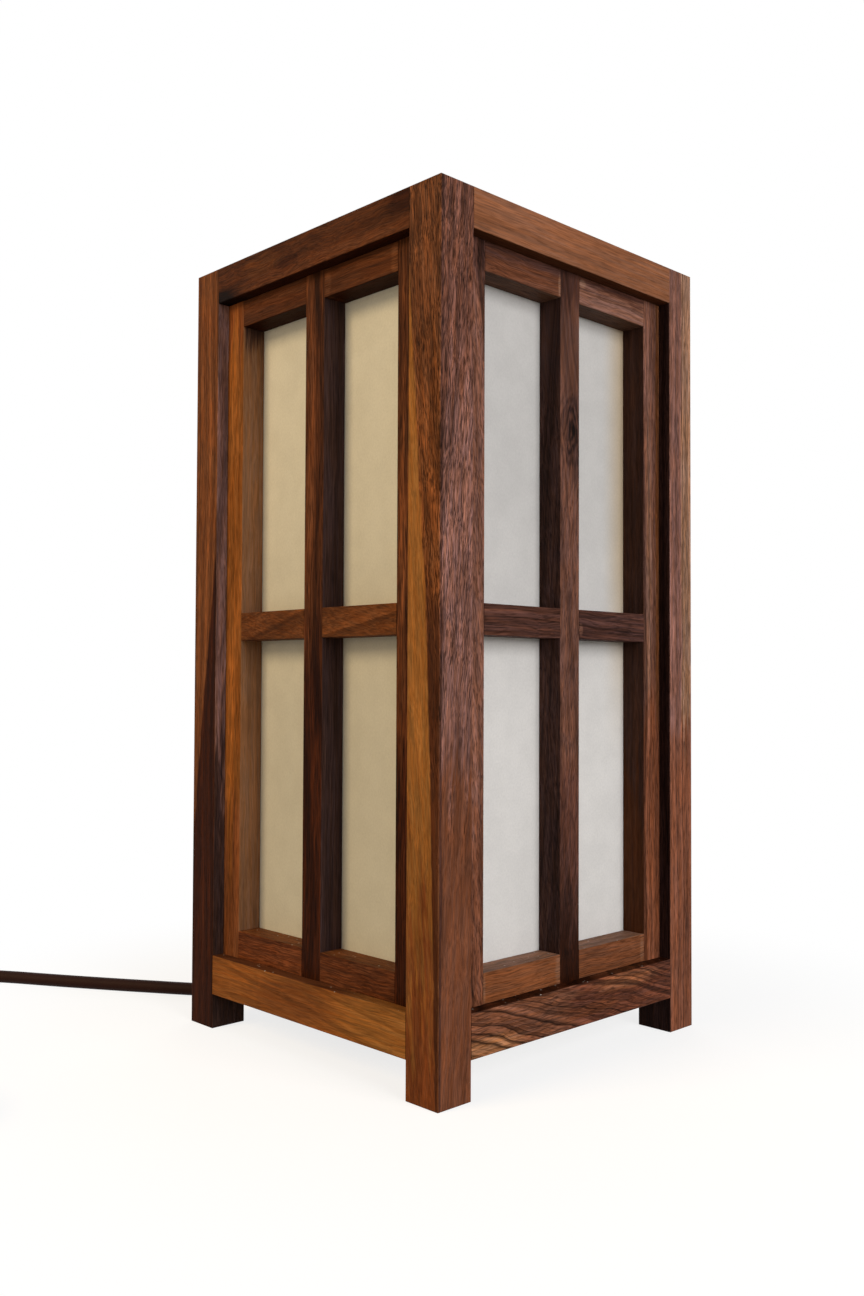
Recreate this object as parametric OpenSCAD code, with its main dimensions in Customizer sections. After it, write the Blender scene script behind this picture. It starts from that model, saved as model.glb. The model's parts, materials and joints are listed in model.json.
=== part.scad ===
// Table lamp with a square hardwood frame, a half-lapped stick lattice and a
// paper sheet on each of its four sides. The top and the bottom are open.
// Millimetres, +Z up, origin on the floor under the middle of the frame.
// The front faces -Y. Left and right are as seen from the front.

/* [Frame] */
// Height of the lamp
lamp_h = 375; // [300:5:480]
// Width of the frame, left to right
lamp_w = 177; // [170:1:260]
// Depth of the frame, front to back
lamp_d = 177; // [170:1:260]
// Side of a corner post, and thickness of the rails
post_w = 19; // [19:0.5:24]
// Height of a top rail
top_rail_h = 17.5; // [15:0.5:30]
// Height of a bottom rail
bottom_rail_h = 19; // [18:0.5:30]
// Clear height under the bottom rails
foot_h = 16.6; // [15:0.2:30]
// Rounding of a post's outermost long edge
corner_r = 1.2; // [0.4:0.1:2]
// Rounding of every other edge of the frame
edge_r = 0.5; // [0.2:0.1:1]

/* [Joinery] */
// Thickness of a tenon
tenon_t = 6.4; // [5:0.1:8]
// Shoulder above and below a tenon
tenon_shoulder = 3; // [2:0.5:4]
// Glue gap at the mitred end of a tenon
tenon_gap = 0.5; // [0.2:0.1:1]
// How far the crossbar is let into the bottom rails
housing_d = 6; // [4:0.5:9]

/* [Lattice] */
// How far the lattice sits behind the faces of the frame
lattice_recess = 6; // [2:0.5:6]
// Thickness of a lattice stick, front to back
stick_t = 12.5; // [8:0.5:12.5]
// Width of the outer sticks
stick_w = 13; // [9:0.5:18]
// Width of the upright and the level middle stick
muntin_w = 13.5; // [8:0.5:18]
// Gap beside and above the lattice
lattice_gap = 0.2; // [0.1:0.1:0.5]
// Rounding of the sticks' long edges
stick_edge_r = 0.4; // [0.2:0.1:1]

/* [Paper] */
// Thickness of the paper
paper_t = 0.4; // [0.2:0.05:0.5]
// How far the paper stays inside the lattice's outline
paper_margin = 2; // [1:0.5:5]

/* [Crossbar and lampholder] */
// Width of the crossbar
crossbar_w = 58; // [56:1:80]
// Thickness of the crossbar
crossbar_t = 12.7; // [11:0.1:15]
// Radius of the lampholder's flange
flange_r = 27; // [26:0.5:28]
// Height of the lampholder's flange
flange_h = 6; // [4:0.5:8]
// Radius of the lampholder's body
holder_r = 18; // [16:0.5:20]
// Height of the lampholder
holder_h = 40; // [36:1:44]
// Radius of the hollow under the lampholder
hollow_r = 19; // [18.5:0.5:20]
// Height of the hollow under the lampholder
hollow_h = 9; // [5:0.5:10]
// Thickness of the floor between the hollow and the screw shell
holder_floor = 4; // [3:0.5:5]
// Thickness of the screw shell's metal
shell_t = 0.5; // [0.3:0.1:0.8]
// Distance of the lampholder's screws from its middle
screw_reach = 23; // [22.5:0.25:24]

/* [Bulb] */
// Radius of the bulb's screw cap
cap_r = 13.1; // [12:0.1:13.5]
// Height of the screw cap with its insulator
cap_h = 26; // [24:0.5:28]
// Radius of the globe
globe_r = 30; // [25:0.5:40]
// Length of the bulb
bulb_l = 110; // [100:1:125]
// Clearance round the cap and under its contact
cap_gap = 0.3; // [0.2:0.05:0.5]

/* [Screws] */
// Radius of a wood screw's shank
screw_r = 1.75; // [1.2:0.05:2]
// Length of a wood screw's shank
screw_l = 12; // [9:0.5:14]
// Radius of a wood screw's head
screw_head_r = 3.3; // [2.6:0.1:3.6]
// Height of a wood screw's head
screw_head_h = 2.2; // [1.6:0.1:2.6]

/* [Cord] */
// Diameter of the cord
cord_d = 6.6; // [5:0.1:7]
// Width of the cord grip without its ears
grip_w = 16; // [14:0.5:20]
// Length of the cord grip
grip_l = 26; // [20:1:30]
// Height of the cord grip
grip_h = 10.5; // [9.5:0.25:12]
// Length of the tapered sleeve on the cord grip
sleeve_l = 24; // [20:1:30]

/* [Switch] */
// Length of the switch without its necks
switch_l = 62; // [54:1:75]
// Width of the switch
switch_w = 28; // [22:1:34]
// Height of the switch
switch_h = 19.5; // [18:0.5:24]
// Length of the neck at each end of the switch
switch_neck = 6; // [4:0.5:10]
// Radius of the rocker about its pin
rocker_r = 8.3; // [7:0.1:8.5]
// Width of the rocker
rocker_w = 10; // [8:0.5:14]
// Turn of the rocker from off to on, in degrees
rocker_throw = 16; // [10:1:20]

/* [Plug] */
// Length of the plug's body behind the blades
plug_l = 44; // [38:1:54]
// Width of the plug's body
plug_w = 26; // [24:1:32]
// Thickness of the plug's body
plug_t = 18; // [15:0.5:20]
// Distance between the blades, middle to middle
blade_pitch = 12.7; // [12.5:0.1:12.9]
// Length of a blade outside the plug
blade_l = 17.5; // [15.9:0.1:18.3]

/* [Hidden] */
eps = 0.01;
SIDES = ["front", "right", "back", "left"];
CORNERS = ["front_left", "front_right", "back_right", "back_left"];
STICKS = ["left_stile", "right_stile", "muntin", "top_stick", "mid_stick", "bottom_stick"];
BASE_NODES = ["crossbar", "wood_screws", "holder_body", "holder_shell", "holder_contact",
    "holder_leads"];
BULB_NODES = ["bulb_cap", "bulb_contact", "bulb_housing", "bulb_globe"];
CORD_NODES = ["cord_grip", "cord_sleeve", "cord_lead", "switch_base", "switch_cover",
    "switch_rocker", "cord_coil", "plug_body", "plug_blades"];

// Frame
rail_mid = post_w / 2;
rail_top = foot_h + bottom_rail_h;
lattice_top = lamp_h - top_rail_h;
function reach(i) = (i % 2 == 0 ? lamp_d : lamp_w) / 2;
function span(i) = (i % 2 == 0 ? lamp_w : lamp_d) - 2 * post_w;

// Lattice, in a panel whose front is y = 0
function panel_w(i) = span(i) - 2 * lattice_gap;
panel_h = lattice_top - rail_top - lattice_gap;
lap_t = stick_t / 2;
mid_lap = stick_w / 2;
mid_z0 = (panel_h - muntin_w) / 2;
mid_z1 = (panel_h + muntin_w) / 2;

// Lampholder and bulb, upwards from the crossbar
shell_r = cap_r + cap_gap + shell_t;
seat_z = rail_top + hollow_h + holder_floor;
contact_h = 2;
contact_r = 5;
tip_z = seat_z + contact_h + cap_gap;
tip_h = 1.2;
tip_r = 4;
insulator_h = 4;
insulator_r = 7;
cap_taper = 2;
neck_r = 14;
globe_z = tip_z + bulb_l - globe_r;
housing_top = globe_z - 0.6 * globe_r;
housing_top_r = 0.8 * globe_r;
screw_gap = 0.05;

// Cord grip, under the crossbar
grip_x = -20;
grip_y = -8;
ear_x = grip_w / 2 + 4.5;
ear_r = 5.5;
ear_t = 3;
bar_z = rail_top - crossbar_t;
grip_axis_z = bar_z - grip_h / 2 - 0.2;
lead_r = 1.2;
lead_x = grip_x + 4;
lead_pitch = 3;
lead_hole_r = 3.2;
pocket_d = 3;
sleeve_root_r = 5;
sleeve_tip_r = cord_d / 2 + 0.7;
sleeve_seat = 4;
sleeve_tip_y = grip_y + grip_l + sleeve_l;

// Switch, with +x along the cord
cord_z = cord_d / 2 + 0.1;
switch_at = [-281, 144];
switch_heading = 246;
switch_dir = [cos(switch_heading), sin(switch_heading)];
switch_left = [-switch_dir.y, switch_dir.x];
split_z = 9;
switch_reach = switch_l / 2 + switch_neck;
switch_in = switch_at - switch_reach * switch_dir;
switch_out = switch_at + switch_reach * switch_dir;
rocker_gap = 0.3;
pin_r = 1.2;
pin_l = 1.5;
pin_gap = 0.05;
pivot_z = switch_h - 1;

// Route of the cord from the sleeve to the switch, at the middle of the cord
LEAD_ROUTE = [
    [-20.5, 51, 17], [-22, 60, 14.5], [-24.5, 68.5, 9], [-27.5, 77, 4.5], [-31.5, 85, cord_z],
    [-36.5, 92.5, cord_z], [-46, 106.5, cord_z], [-55.5, 120.5, cord_z], [-65.5, 134.5, cord_z],
    [-75, 148.5, cord_z], [-84.5, 162.5, cord_z], [-94, 177, cord_z], [-103, 191, cord_z],
    [-112, 205.5, cord_z], [-121, 220, cord_z], [-131, 233.5, cord_z], [-144, 244.5, cord_z],
    [-159, 252.5, cord_z], [-175.5, 256.5, cord_z], [-192.5, 256.5, cord_z],
    [-209, 252.5, cord_z], [-224, 244.5, cord_z], [-237, 233.5, cord_z], [-247, 220, cord_z],
    [-252.5, 208.5, cord_z], [-255.5, 201.5, 4.5], [-259, 194, 6.5], [-262, 186.5, 8.5]];

// Coil: two layers, each a spiral, wound in along the floor and out on top
coil_r = 47.5;
coil_turns = 5;
coil_pitch = cord_d + 0.6;
layer_h = cord_d + 0.6;
coil_rings = 24;
coil_start = switch_heading - 90;
coil_sweep = 360 * coil_turns + 360 - coil_start;
coil_lead = 37;
coil_from = switch_out + coil_lead * switch_dir;
coil_at = coil_from + coil_r * switch_left;
tail_l = 34;

// Plug, with +x towards the blades
plug_z = plug_t / 2;
plug_at = [coil_at.x + coil_r, coil_at.y + tail_l];
plug_heading = 90;
plug_neck_l = 13;
blade_t = 1.5;
blade_w = 6.35;
wide_blade_w = 7.9;
blade_seat = 5;
blade_hole_r = 1.6;
blade_hole_in = 5.5;

function smooth(t) = (1 - cos(180 * max(0, min(1, t)))) / 2;
function mix(a, b, t) = a + (b - a) * t;

// Places what is drawn for a side whose outer face is y = 0
module on_side(i) {
    rotate([0, 0, 90 * i]) translate([0, -reach(i), 0]) children();
}

// Places what is drawn for a corner at the origin of the first quadrant
module at_corner(i) {
    x = (i == 0 || i == 3 ? -1 : 1) * lamp_w / 2;
    y = (i < 2 ? -1 : 1) * lamp_d / 2;
    translate([x, y, 0]) rotate([0, 0, 90 * i]) children();
}

// What a rounded corner of radius r leaves over in its square
module corner_waste(r) {
    difference() {
        translate([-1, -1]) square(r + 1);
        translate([r, r]) circle(r, $fn = 48);
        translate([r, -1 - eps]) square(r + 1);
        translate([-1 - eps, r]) square(r + 1);
    }
}

// A rectangle from the origin with its corners rounded by the four radii in r
module eased_rect(size, r) {
    at = [[0, 0], [size.x, 0], size, [0, size.y]];
    difference() {
        square(size);
        for (k = [0:3]) if (r[k] > 0) translate(at[k]) rotate(90 * k) corner_waste(r[k]);
    }
}

// Draws a profile in y and z along x, centred
module along_x(length) {
    translate([-length / 2, 0, 0]) rotate([90, 0, 90]) linear_extrude(length) children();
}

// The L-shaped hole that two mitred tenons share inside a post
module mortise(z, h) {
    a = rail_mid - tenon_t / 2;
    b = rail_mid + tenon_t / 2;
    far = post_w + 1;
    translate([0, 0, z]) linear_extrude(h)
        polygon([[far, a], [a, a], [a, far], [b, far], [b, b], [far, b]]);
}

// A corner post with its mortises, drawn at the origin of the first quadrant
module post(i) {
    e = edge_r;
    color("saddlebrown") at_corner(i) difference() {
        intersection() {
            linear_extrude(lamp_h) eased_rect([post_w, post_w], [corner_r, e, e, e]);
            translate([post_w / 2, 0, 0]) along_x(post_w)
                eased_rect([post_w, lamp_h], [e, e, 0, e]);
            translate([0, post_w / 2, 0]) rotate([0, 0, 90]) mirror([0, 1, 0]) along_x(post_w)
                eased_rect([post_w, lamp_h], [e, e, 0, e]);
        }
        mortise(lattice_top + tenon_shoulder, top_rail_h - 2 * tenon_shoulder);
        mortise(foot_h + tenon_shoulder, bottom_rail_h - 2 * tenon_shoulder);
    }
}

// A tenon whose end is mitred against its neighbour inside the post; s is its end of the rail
module tenon(half, s, h) {
    a = rail_mid - tenon_t / 2;
    b = rail_mid + tenon_t / 2;
    full = half + post_w - tenon_gap;
    linear_extrude(h)
        polygon([[s * (half - 1), a], [s * (full - a), a], [s * (full - b), b], [s * (half - 1), b]]);
}

// A rail between two posts, with a tenon at each end
module rail(i, z, h) {
    half = span(i) / 2;
    e = edge_r;
    translate([0, 0, z]) {
        along_x(2 * half) eased_rect([post_w, h], [e, e, e, e]);
        for (s = [-1, 1]) translate([0, 0, tenon_shoulder])
            tenon(half, s, h - 2 * tenon_shoulder);
    }
}

module top_rail(i) {
    color("peru") on_side(i) rail(i, lattice_top, top_rail_h);
}

// A bottom rail; those on the left and right are cut for the crossbar
module bottom_rail(i) {
    color("sienna") on_side(i) difference() {
        rail(i, foot_h, bottom_rail_h);
        if (i % 2 == 1) translate([-crossbar_w / 2, post_w - housing_d, bar_z])
            cube([crossbar_w, housing_d + 1, crossbar_t + 1]);
    }
}

// Places what is drawn for a lattice panel of a side
module on_panel(i) {
    on_side(i) translate([0, lattice_recess, rail_top]) children();
}

// An upright stick of the lattice, centred on x
module upright(w) {
    e = stick_edge_r;
    translate([-w / 2, 0, 0]) linear_extrude(panel_h) eased_rect([w, stick_t], [e, e, e, e]);
}

// A level stick of the lattice, from z = 0
module level(length, h) {
    e = stick_edge_r;
    along_x(length) eased_rect([stick_t, h], [e, e, e, e]);
}

// The half of a crossing that is cut from a stick, from depth y
module lap(x0, x1, y, z0, z1) {
    translate([x0, y, z0]) cube([x1 - x0, lap_t + 1, z1 - z0]);
}

// An outer upright, in front of the ends of the level sticks
module stile(i, s) {
    x = s * (panel_w(i) - stick_w) / 2;
    inner = x - s * stick_w / 2;
    tongue = inner + s * mid_lap;
    half = stick_w / 2 + 1;
    color("chocolate") on_panel(i) difference() {
        translate([x, 0, 0]) upright(stick_w);
        lap(x - half, x + half, lap_t, -1, stick_w);
        lap(x - half, x + half, lap_t, panel_h - stick_w, panel_h + 1);
        lap(min(inner - s, tongue), max(inner - s, tongue), lap_t, mid_z0, mid_z1);
    }
}

// The middle upright, in front of all three level sticks
module muntin(i) {
    half = muntin_w / 2 + 1;
    color("brown") on_panel(i) difference() {
        upright(muntin_w);
        lap(-half, half, lap_t, -1, stick_w);
        lap(-half, half, lap_t, mid_z0, mid_z1);
        lap(-half, half, lap_t, panel_h - stick_w, panel_h + 1);
    }
}

// The top or bottom stick, lapped behind both stiles and the muntin
module end_stick(i, z) {
    w = panel_w(i) / 2;
    m = muntin_w / 2;
    color("peru") on_panel(i) translate([0, 0, z]) difference() {
        level(2 * w, stick_w);
        lap(-w - 1, -w + stick_w, -1, -1, stick_w + 1);
        lap(-m, m, -1, -1, stick_w + 1);
        lap(w - stick_w, w + 1, -1, -1, stick_w + 1);
    }
}

// The middle level stick, lapped behind the muntin and let half way into the stiles
module mid_stick(i) {
    inner = panel_w(i) / 2 - stick_w;
    w = inner + mid_lap;
    m = muntin_w / 2;
    color("sienna") on_panel(i) translate([0, 0, mid_z0]) difference() {
        level(2 * w, muntin_w);
        lap(-w - 1, -inner, -1, -1, muntin_w + 1);
        lap(-m, m, -1, -1, muntin_w + 1);
        lap(inner, w + 1, -1, -1, muntin_w + 1);
    }
}

// A sheet of paper glued to the back of a lattice
module paper(i) {
    w = panel_w(i) - 2 * paper_margin;
    h = panel_h - 2 * paper_margin;
    color("ivory") on_panel(i) translate([-w / 2, stick_t, paper_margin]) cube([w, paper_t, h]);
}

// The bar across the base that carries the lampholder
module crossbar() {
    length = lamp_w - 2 * post_w + 2 * housing_d;
    color("burlywood") difference() {
        translate([0, -crossbar_w / 2, bar_z]) along_x(length) square([crossbar_w, crossbar_t]);
        translate([lead_x, 0, bar_z - 1]) cylinder(r = lead_hole_r, h = crossbar_t + 2, $fn = 48);
        at_holder_screws() screw_hole(rail_top + flange_h);
        at_grip_screws() screw_hole_up();
    }
}

module at_holder_screws() {
    for (s = [-1, 1]) translate([0, s * screw_reach, 0]) children();
}

module at_grip_screws() {
    for (s = [-1, 1]) translate([grip_x + s * ear_x, grip_y + grip_l / 2, 0]) children();
}

// The hole of a screw whose head sits on height z, and of one driven up from below the ears
module screw_hole(z) {
    translate([0, 0, z - screw_l]) cylinder(r = screw_r + screw_gap, h = screw_l + 1, $fn = 48);
}

module screw_hole_up() {
    translate([0, 0, bar_z - ear_t - 1])
        cylinder(r = screw_r + screw_gap, h = screw_l + 1, $fn = 48);
}

// A round-headed wood screw with the underside of its head at the origin, pointing down
module wood_screw() {
    rotate_extrude($fn = 48) polygon([
        [0, -screw_l], [screw_r, -screw_l + 2], [screw_r, 0], [screw_head_r, 0],
        [screw_head_r, 0.35 * screw_head_h], [0.75 * screw_head_r, 0.85 * screw_head_h],
        [0.3 * screw_head_r, screw_head_h], [0, screw_head_h]]);
}

module wood_screws() {
    color("silver") {
        at_holder_screws() translate([0, 0, rail_top + flange_h]) wood_screw();
        at_grip_screws() translate([0, 0, bar_z - ear_t]) rotate([180, 0, 0]) wood_screw();
    }
}

// The insulating body of the lampholder: a flange, a barrel and a rolled rim
module holder_body() {
    rim = 1.2;
    color("white") translate([0, 0, rail_top]) difference() {
        rotate_extrude($fn = 96) polygon([
            [0, 0], [flange_r, 0], [flange_r, flange_h - 1.5], [flange_r - 1.5, flange_h],
            [holder_r + 1.2, flange_h], [holder_r + 0.4, flange_h + 0.5], [holder_r, flange_h + 1.6],
            [holder_r, holder_h - 7], [holder_r + rim, holder_h - 5.5],
            [holder_r + rim, holder_h - 1], [holder_r + rim - 1, holder_h], [0, holder_h]]);
        translate([0, 0, -1]) cylinder(r = hollow_r, h = 1 + min(hollow_h, flange_h - 2), $fn = 96);
        translate([0, 0, -1]) cylinder(r = holder_r - 3, h = 1 + hollow_h, $fn = 96);
        translate([0, 0, hollow_h + holder_floor])
            cylinder(r = shell_r + screw_gap, h = holder_h, $fn = 96);
        at_holder_screws() translate([0, 0, -1])
            cylinder(r = screw_r + screw_gap, h = flange_h + 2, $fn = 48);
    }
}

// The metal screw shell inside the lampholder
module holder_shell() {
    h = holder_h - hollow_h - holder_floor - 2;
    color("gold") translate([0, 0, seat_z]) difference() {
        cylinder(r = shell_r, h = h, $fn = 96);
        translate([0, 0, shell_t]) cylinder(r = shell_r - shell_t, h = h, $fn = 96);
        translate([0, 0, -1]) cylinder(r = contact_r + 2, h = 3, $fn = 96);
    }
}

// The contact in the middle of the lampholder's floor
module holder_contact() {
    color("gold") translate([0, 0, seat_z]) rotate_extrude($fn = 48) polygon([
        [0, 0], [contact_r, 0], [contact_r, 0.6], [0.7 * contact_r, contact_h], [0, contact_h]]);
}

// The two insulated wires from the cord grip up to the lampholder
module holder_leads() {
    z0 = bar_z - pocket_d;
    z1 = rail_top + min(hollow_h, flange_h - 2);
    color("dimgray") for (s = [-1, 1])
        translate([lead_x, s * lead_pitch / 2, z0]) cylinder(r = lead_r, h = z1 - z0, $fn = 32);
}

// The bulb's metal cap, above its insulator
module bulb_cap() {
    z0 = tip_z + tip_h + insulator_h;
    color("silver") translate([0, 0, z0]) rotate_extrude($fn = 96) polygon([
        [0, 0], [cap_r - cap_taper, 0], [cap_r, cap_taper], [cap_r, cap_h - tip_h - insulator_h],
        [0, cap_h - tip_h - insulator_h]]);
}

// The bulb's tip contact on its glass insulator
module bulb_contact() {
    color("darkslategray") translate([0, 0, tip_z]) rotate_extrude($fn = 96) polygon([
        [0, 0], [tip_r, 0], [1.2 * tip_r, tip_h], [insulator_r, tip_h],
        [cap_r - cap_taper, tip_h + insulator_h], [0, tip_h + insulator_h]]);
}

// The bulb's tapered housing between its cap and its globe
module bulb_housing() {
    z0 = tip_z + cap_h;
    h = housing_top - z0;
    swell = [for (k = [0:8]) [mix(neck_r, housing_top_r, smooth(k / 8)), h * (0.12 + 0.88 * k / 8)]];
    color("whitesmoke") translate([0, 0, z0]) rotate_extrude($fn = 96)
        polygon(concat([[0, 0], [cap_r - 0.3, 0], [neck_r, 0.06 * h]], swell, [[0, h]]));
}

// The bulb's frosted globe
module bulb_globe() {
    color("snow") intersection() {
        translate([0, 0, globe_z]) sphere(r = globe_r, $fn = 96);
        translate([0, 0, housing_top]) cylinder(r = globe_r + 1, h = 2 * globe_r, $fn = 96);
    }
}

// The moulded block under the crossbar that grips the cord
module cord_grip() {
    r = 4;
    mid_y = grip_y + grip_l / 2;
    color("dimgray") difference() {
        union() {
            translate([grip_x - grip_w / 2, grip_y, bar_z - grip_h]) intersection() {
                linear_extrude(grip_h) eased_rect([grip_w, grip_l], [r, r, 1, 1]);
                translate([grip_w / 2, 0, 0]) along_x(grip_w)
                    eased_rect([grip_l, grip_h], [2, 2, 0, 0]);
            }
            for (s = [-1, 1]) translate([grip_x + s * ear_x, mid_y, bar_z - ear_t])
                cylinder(r = ear_r, h = ear_t, $fn = 64);
            translate([grip_x - ear_x, mid_y - ear_r, bar_z - ear_t])
                cube([2 * ear_x, 2 * ear_r, ear_t]);
        }
        translate([grip_x, grip_y + grip_l - sleeve_seat, grip_axis_z]) rotate([-90, 0, 0])
            cylinder(r = sleeve_tip_r, h = sleeve_seat + 1, $fn = 48);
        translate([lead_x, 0, bar_z - pocket_d])
            cylinder(r = lead_hole_r, h = pocket_d + 1, $fn = 48);
        at_grip_screws() screw_hole_up();
    }
}

// The rubber sleeve that keeps the cord from kinking at the grip
module cord_sleeve() {
    seat_r = sleeve_tip_r - screw_gap;
    color("black") translate([grip_x, grip_y + grip_l, grip_axis_z]) rotate([-90, 0, 0])
        rotate_extrude($fn = 64) polygon([
            [0, -sleeve_seat], [seat_r, -sleeve_seat], [seat_r, 0], [sleeve_root_r, 0],
            [sleeve_root_r, 2.5], [sleeve_tip_r, sleeve_l - 1], [sleeve_tip_r - 0.4, sleeve_l],
            [0, sleeve_l]]);
}

// A round tube along points, as triangles; its ends face along ahead and behind
function unit(v) = v / norm(v);
function tangent(p, k, ahead, behind) =
    k == 0 ? unit(ahead) : k == len(p) - 1 ? unit(behind) : unit(p[k + 1] - p[k - 1]);
function ring(at, t, r, sides) =
    let (across = unit(cross(t, [0, 0, 1])), up = cross(across, t))
    [for (j = [0:sides - 1]) at + r * (cos(360 * j / sides) * across + sin(360 * j / sides) * up)];
module tube(p, r, sides, ahead, behind) {
    n = len(p);
    last = (n - 1) * sides;
    points = [for (k = [0:n - 1]) each ring(p[k], tangent(p, k, ahead, behind), r, sides)];
    wall = [for (k = [0:n - 2], j = [0:sides - 1])
        let (a = k * sides + j, b = k * sides + (j + 1) % sides)
        each [[a, b, a + sides], [b, b + sides, a + sides]]];
    caps = [for (j = [1:sides - 2]) each [[0, j + 1, j], [last, last + j, last + j + 1]]];
    polyhedron(points, concat(wall, caps), convexity = 10);
}

// The free cord from the sleeve's tip to the switch
lead_points = concat([[grip_x, sleeve_tip_y, grip_axis_z]], LEAD_ROUTE,
    [[switch_in.x, switch_in.y, split_z]]);
module cord_lead() {
    color("saddlebrown") tube(lead_points, cord_d / 2, 10, [0, 1, 0], [switch_dir.x, switch_dir.y, 0]);
}

// The coil's points, by the angle a that has been wound
function coil_point(a) =
    let (r = coil_r - coil_pitch * min(a, coil_sweep - a) / 360,
        z = cord_z + layer_h * smooth((a - coil_sweep / 2) / 180 + 0.5))
    [coil_at.x + r * cos(coil_start + a), coil_at.y + r * sin(coil_start + a), z];
coil_steps = round(coil_sweep * coil_rings / 360);
coil_points = [for (k = [0:coil_steps]) coil_point(coil_sweep * k / coil_steps)];
coil_end = coil_points[coil_steps];

// The straight ends: from the switch down to the floor, and from the coil out to the plug
coil_in_points = [for (t = [0, 0.19, 0.34, 0.49, 0.64, 0.79])
    let (p = mix(switch_out, coil_from, t))
    [p.x, p.y, mix(split_z, cord_z, smooth((t - 0.15) / 0.8))]];
coil_out_points = [for (t = [0.2, 0.4, 0.6, 0.8, 1])
    [plug_at.x, mix(coil_end.y, plug_at.y, t), mix(coil_end.z, plug_z, smooth(t / 0.8))]];
whole_coil = concat(coil_in_points, coil_points, coil_out_points);
module cord_coil() {
    color("saddlebrown") tube(whole_coil, cord_d / 2, 6, [switch_dir.x, switch_dir.y, 0], [0, 1, 0]);
}

// The least gap of the coil to itself, between points half a turn or more apart
coil_gap = min([for (k = [0:len(whole_coil) - 1], j = [k + coil_rings / 2:len(whole_coil) - 1])
    norm(whole_coil[k] - whole_coil[j])]) - cord_d;
function path_length(p) =
    let (steps = [for (k = [1:len(p) - 1]) norm(p[k] - p[k - 1])]) steps * [for (s = steps) 1];
echo(coil_gap_to_itself = coil_gap);
echo(cord_length = path_length(lead_points) + 2 * switch_reach + path_length(whole_coil));

module at_switch() {
    translate([switch_at.x, switch_at.y, 0]) rotate([0, 0, switch_heading]) children();
}

// The outside of the switch: a rounded plan, crowned along and across
module switch_outline() {
    r = 9;
    e = 3;
    translate([0, -switch_w / 2, 0]) intersection() {
        translate([-switch_l / 2, 0, 0]) linear_extrude(switch_h)
            eased_rect([switch_l, switch_w], [r, r, r, r]);
        along_x(switch_l) eased_rect([switch_w, switch_h], [1, 1, e, e]);
        translate([0, switch_w, 0]) rotate([90, 0, 0]) linear_extrude(switch_w)
            translate([-switch_l / 2, 0]) eased_rect([switch_l, switch_h], [1, 1, e, e]);
    }
}

// The necks that hold the cord at both ends of the switch
module switch_necks() {
    translate([0, 0, split_z]) rotate([0, 90, 0]) for (s = [0, 1]) mirror([0, 0, s])
        cylinder(r1 = cord_d / 2 + 3, r2 = cord_d / 2 + 1, h = switch_reach, $fn = 64);
}

// The round well that the rocker turns in
module rocker_well() {
    half = rocker_w / 2 + rocker_gap;
    translate([0, half, pivot_z]) rotate([90, 0, 0])
        cylinder(r = rocker_r + rocker_gap, h = 2 * half, $fn = 96);
}

module switch_base() {
    color("black") at_switch() difference() {
        intersection() {
            union() {
                switch_outline();
                switch_necks();
            }
            translate([-switch_reach, -switch_w, 0]) cube([2 * switch_reach, 2 * switch_w, split_z]);
        }
        rocker_well();
    }
}

module switch_cover() {
    pin_half = rocker_w / 2 + pin_l + rocker_gap;
    color("black") at_switch() difference() {
        intersection() {
            union() {
                switch_outline();
                switch_necks();
            }
            translate([-switch_reach, -switch_w, split_z])
                cube([2 * switch_reach, 2 * switch_w, switch_h]);
        }
        rocker_well();
        translate([0, pin_half, pivot_z]) rotate([90, 0, 0])
            cylinder(r = pin_r + pin_gap, h = 2 * pin_half, $fn = 48);
    }
}

// The rocker with its two pins, tilted to off; its top is a shallow V
module switch_rocker() {
    rise = 3.4;
    dip = rise - rocker_r * tan(rocker_throw / 2);
    top = rocker_r + rise;
    color("black") at_switch() translate([0, 0, pivot_z]) rotate([0, -rocker_throw / 2, 0]) {
        difference() {
            translate([0, rocker_w / 2, 0]) rotate([90, 0, 0])
                cylinder(r = rocker_r, h = rocker_w, $fn = 96);
            translate([0, rocker_w / 2 + 1, 0]) rotate([90, 0, 0]) linear_extrude(rocker_w + 2)
                polygon([[-rocker_r - 1, rise + 0.2], [0, dip], [rocker_r + 1, rise + 0.2],
                    [rocker_r + 1, top], [-rocker_r - 1, top]]);
        }
        translate([0, rocker_w / 2 + pin_l, 0]) rotate([90, 0, 0])
            cylinder(r = pin_r, h = rocker_w + 2 * pin_l, $fn = 48);
    }
}

module at_plug() {
    translate([plug_at.x, plug_at.y, plug_z]) rotate([0, 0, plug_heading]) children();
}

// The moulded plug: a neck that tapers to the cord, and a waisted body with finger grooves
module plug_body() {
    waist = 2.5;
    waist_r = 20;
    groove_r = 0.9;
    groove_pitch = 4;
    body_l = plug_l - plug_neck_l + 3;
    grooves = 4;
    color("black") at_plug() difference() {
        union() {
            rotate([0, 90, 0]) cylinder(r1 = cord_d / 2 + 1.2, r2 = 0.42 * plug_t,
                h = plug_neck_l + 4, $fn = 64);
            translate([plug_l - body_l, -plug_w / 2, -plug_t / 2]) intersection() {
                linear_extrude(plug_t) eased_rect([body_l, plug_w], [7, 2, 2, 7]);
                translate([body_l / 2, 0, 0]) along_x(body_l)
                    eased_rect([plug_w, plug_t], [4, 4, 4, 4]);
            }
        }
        for (s = [-1, 1])
            translate([plug_l - body_l / 2, s * (plug_w / 2 + waist_r - waist), -plug_t])
            cylinder(r = waist_r, h = 2 * plug_t, $fn = 96);
        for (s = [-1, 1], k = [0:grooves - 1])
            translate([plug_l - body_l / 2 + groove_pitch * (k - (grooves - 1) / 2),
                s * (plug_w / 2 - waist), -plug_t])
            cylinder(r = groove_r, h = 2 * plug_t, $fn = 32);
        blades(0.02, -blade_seat, 1);
    }
}

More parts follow.
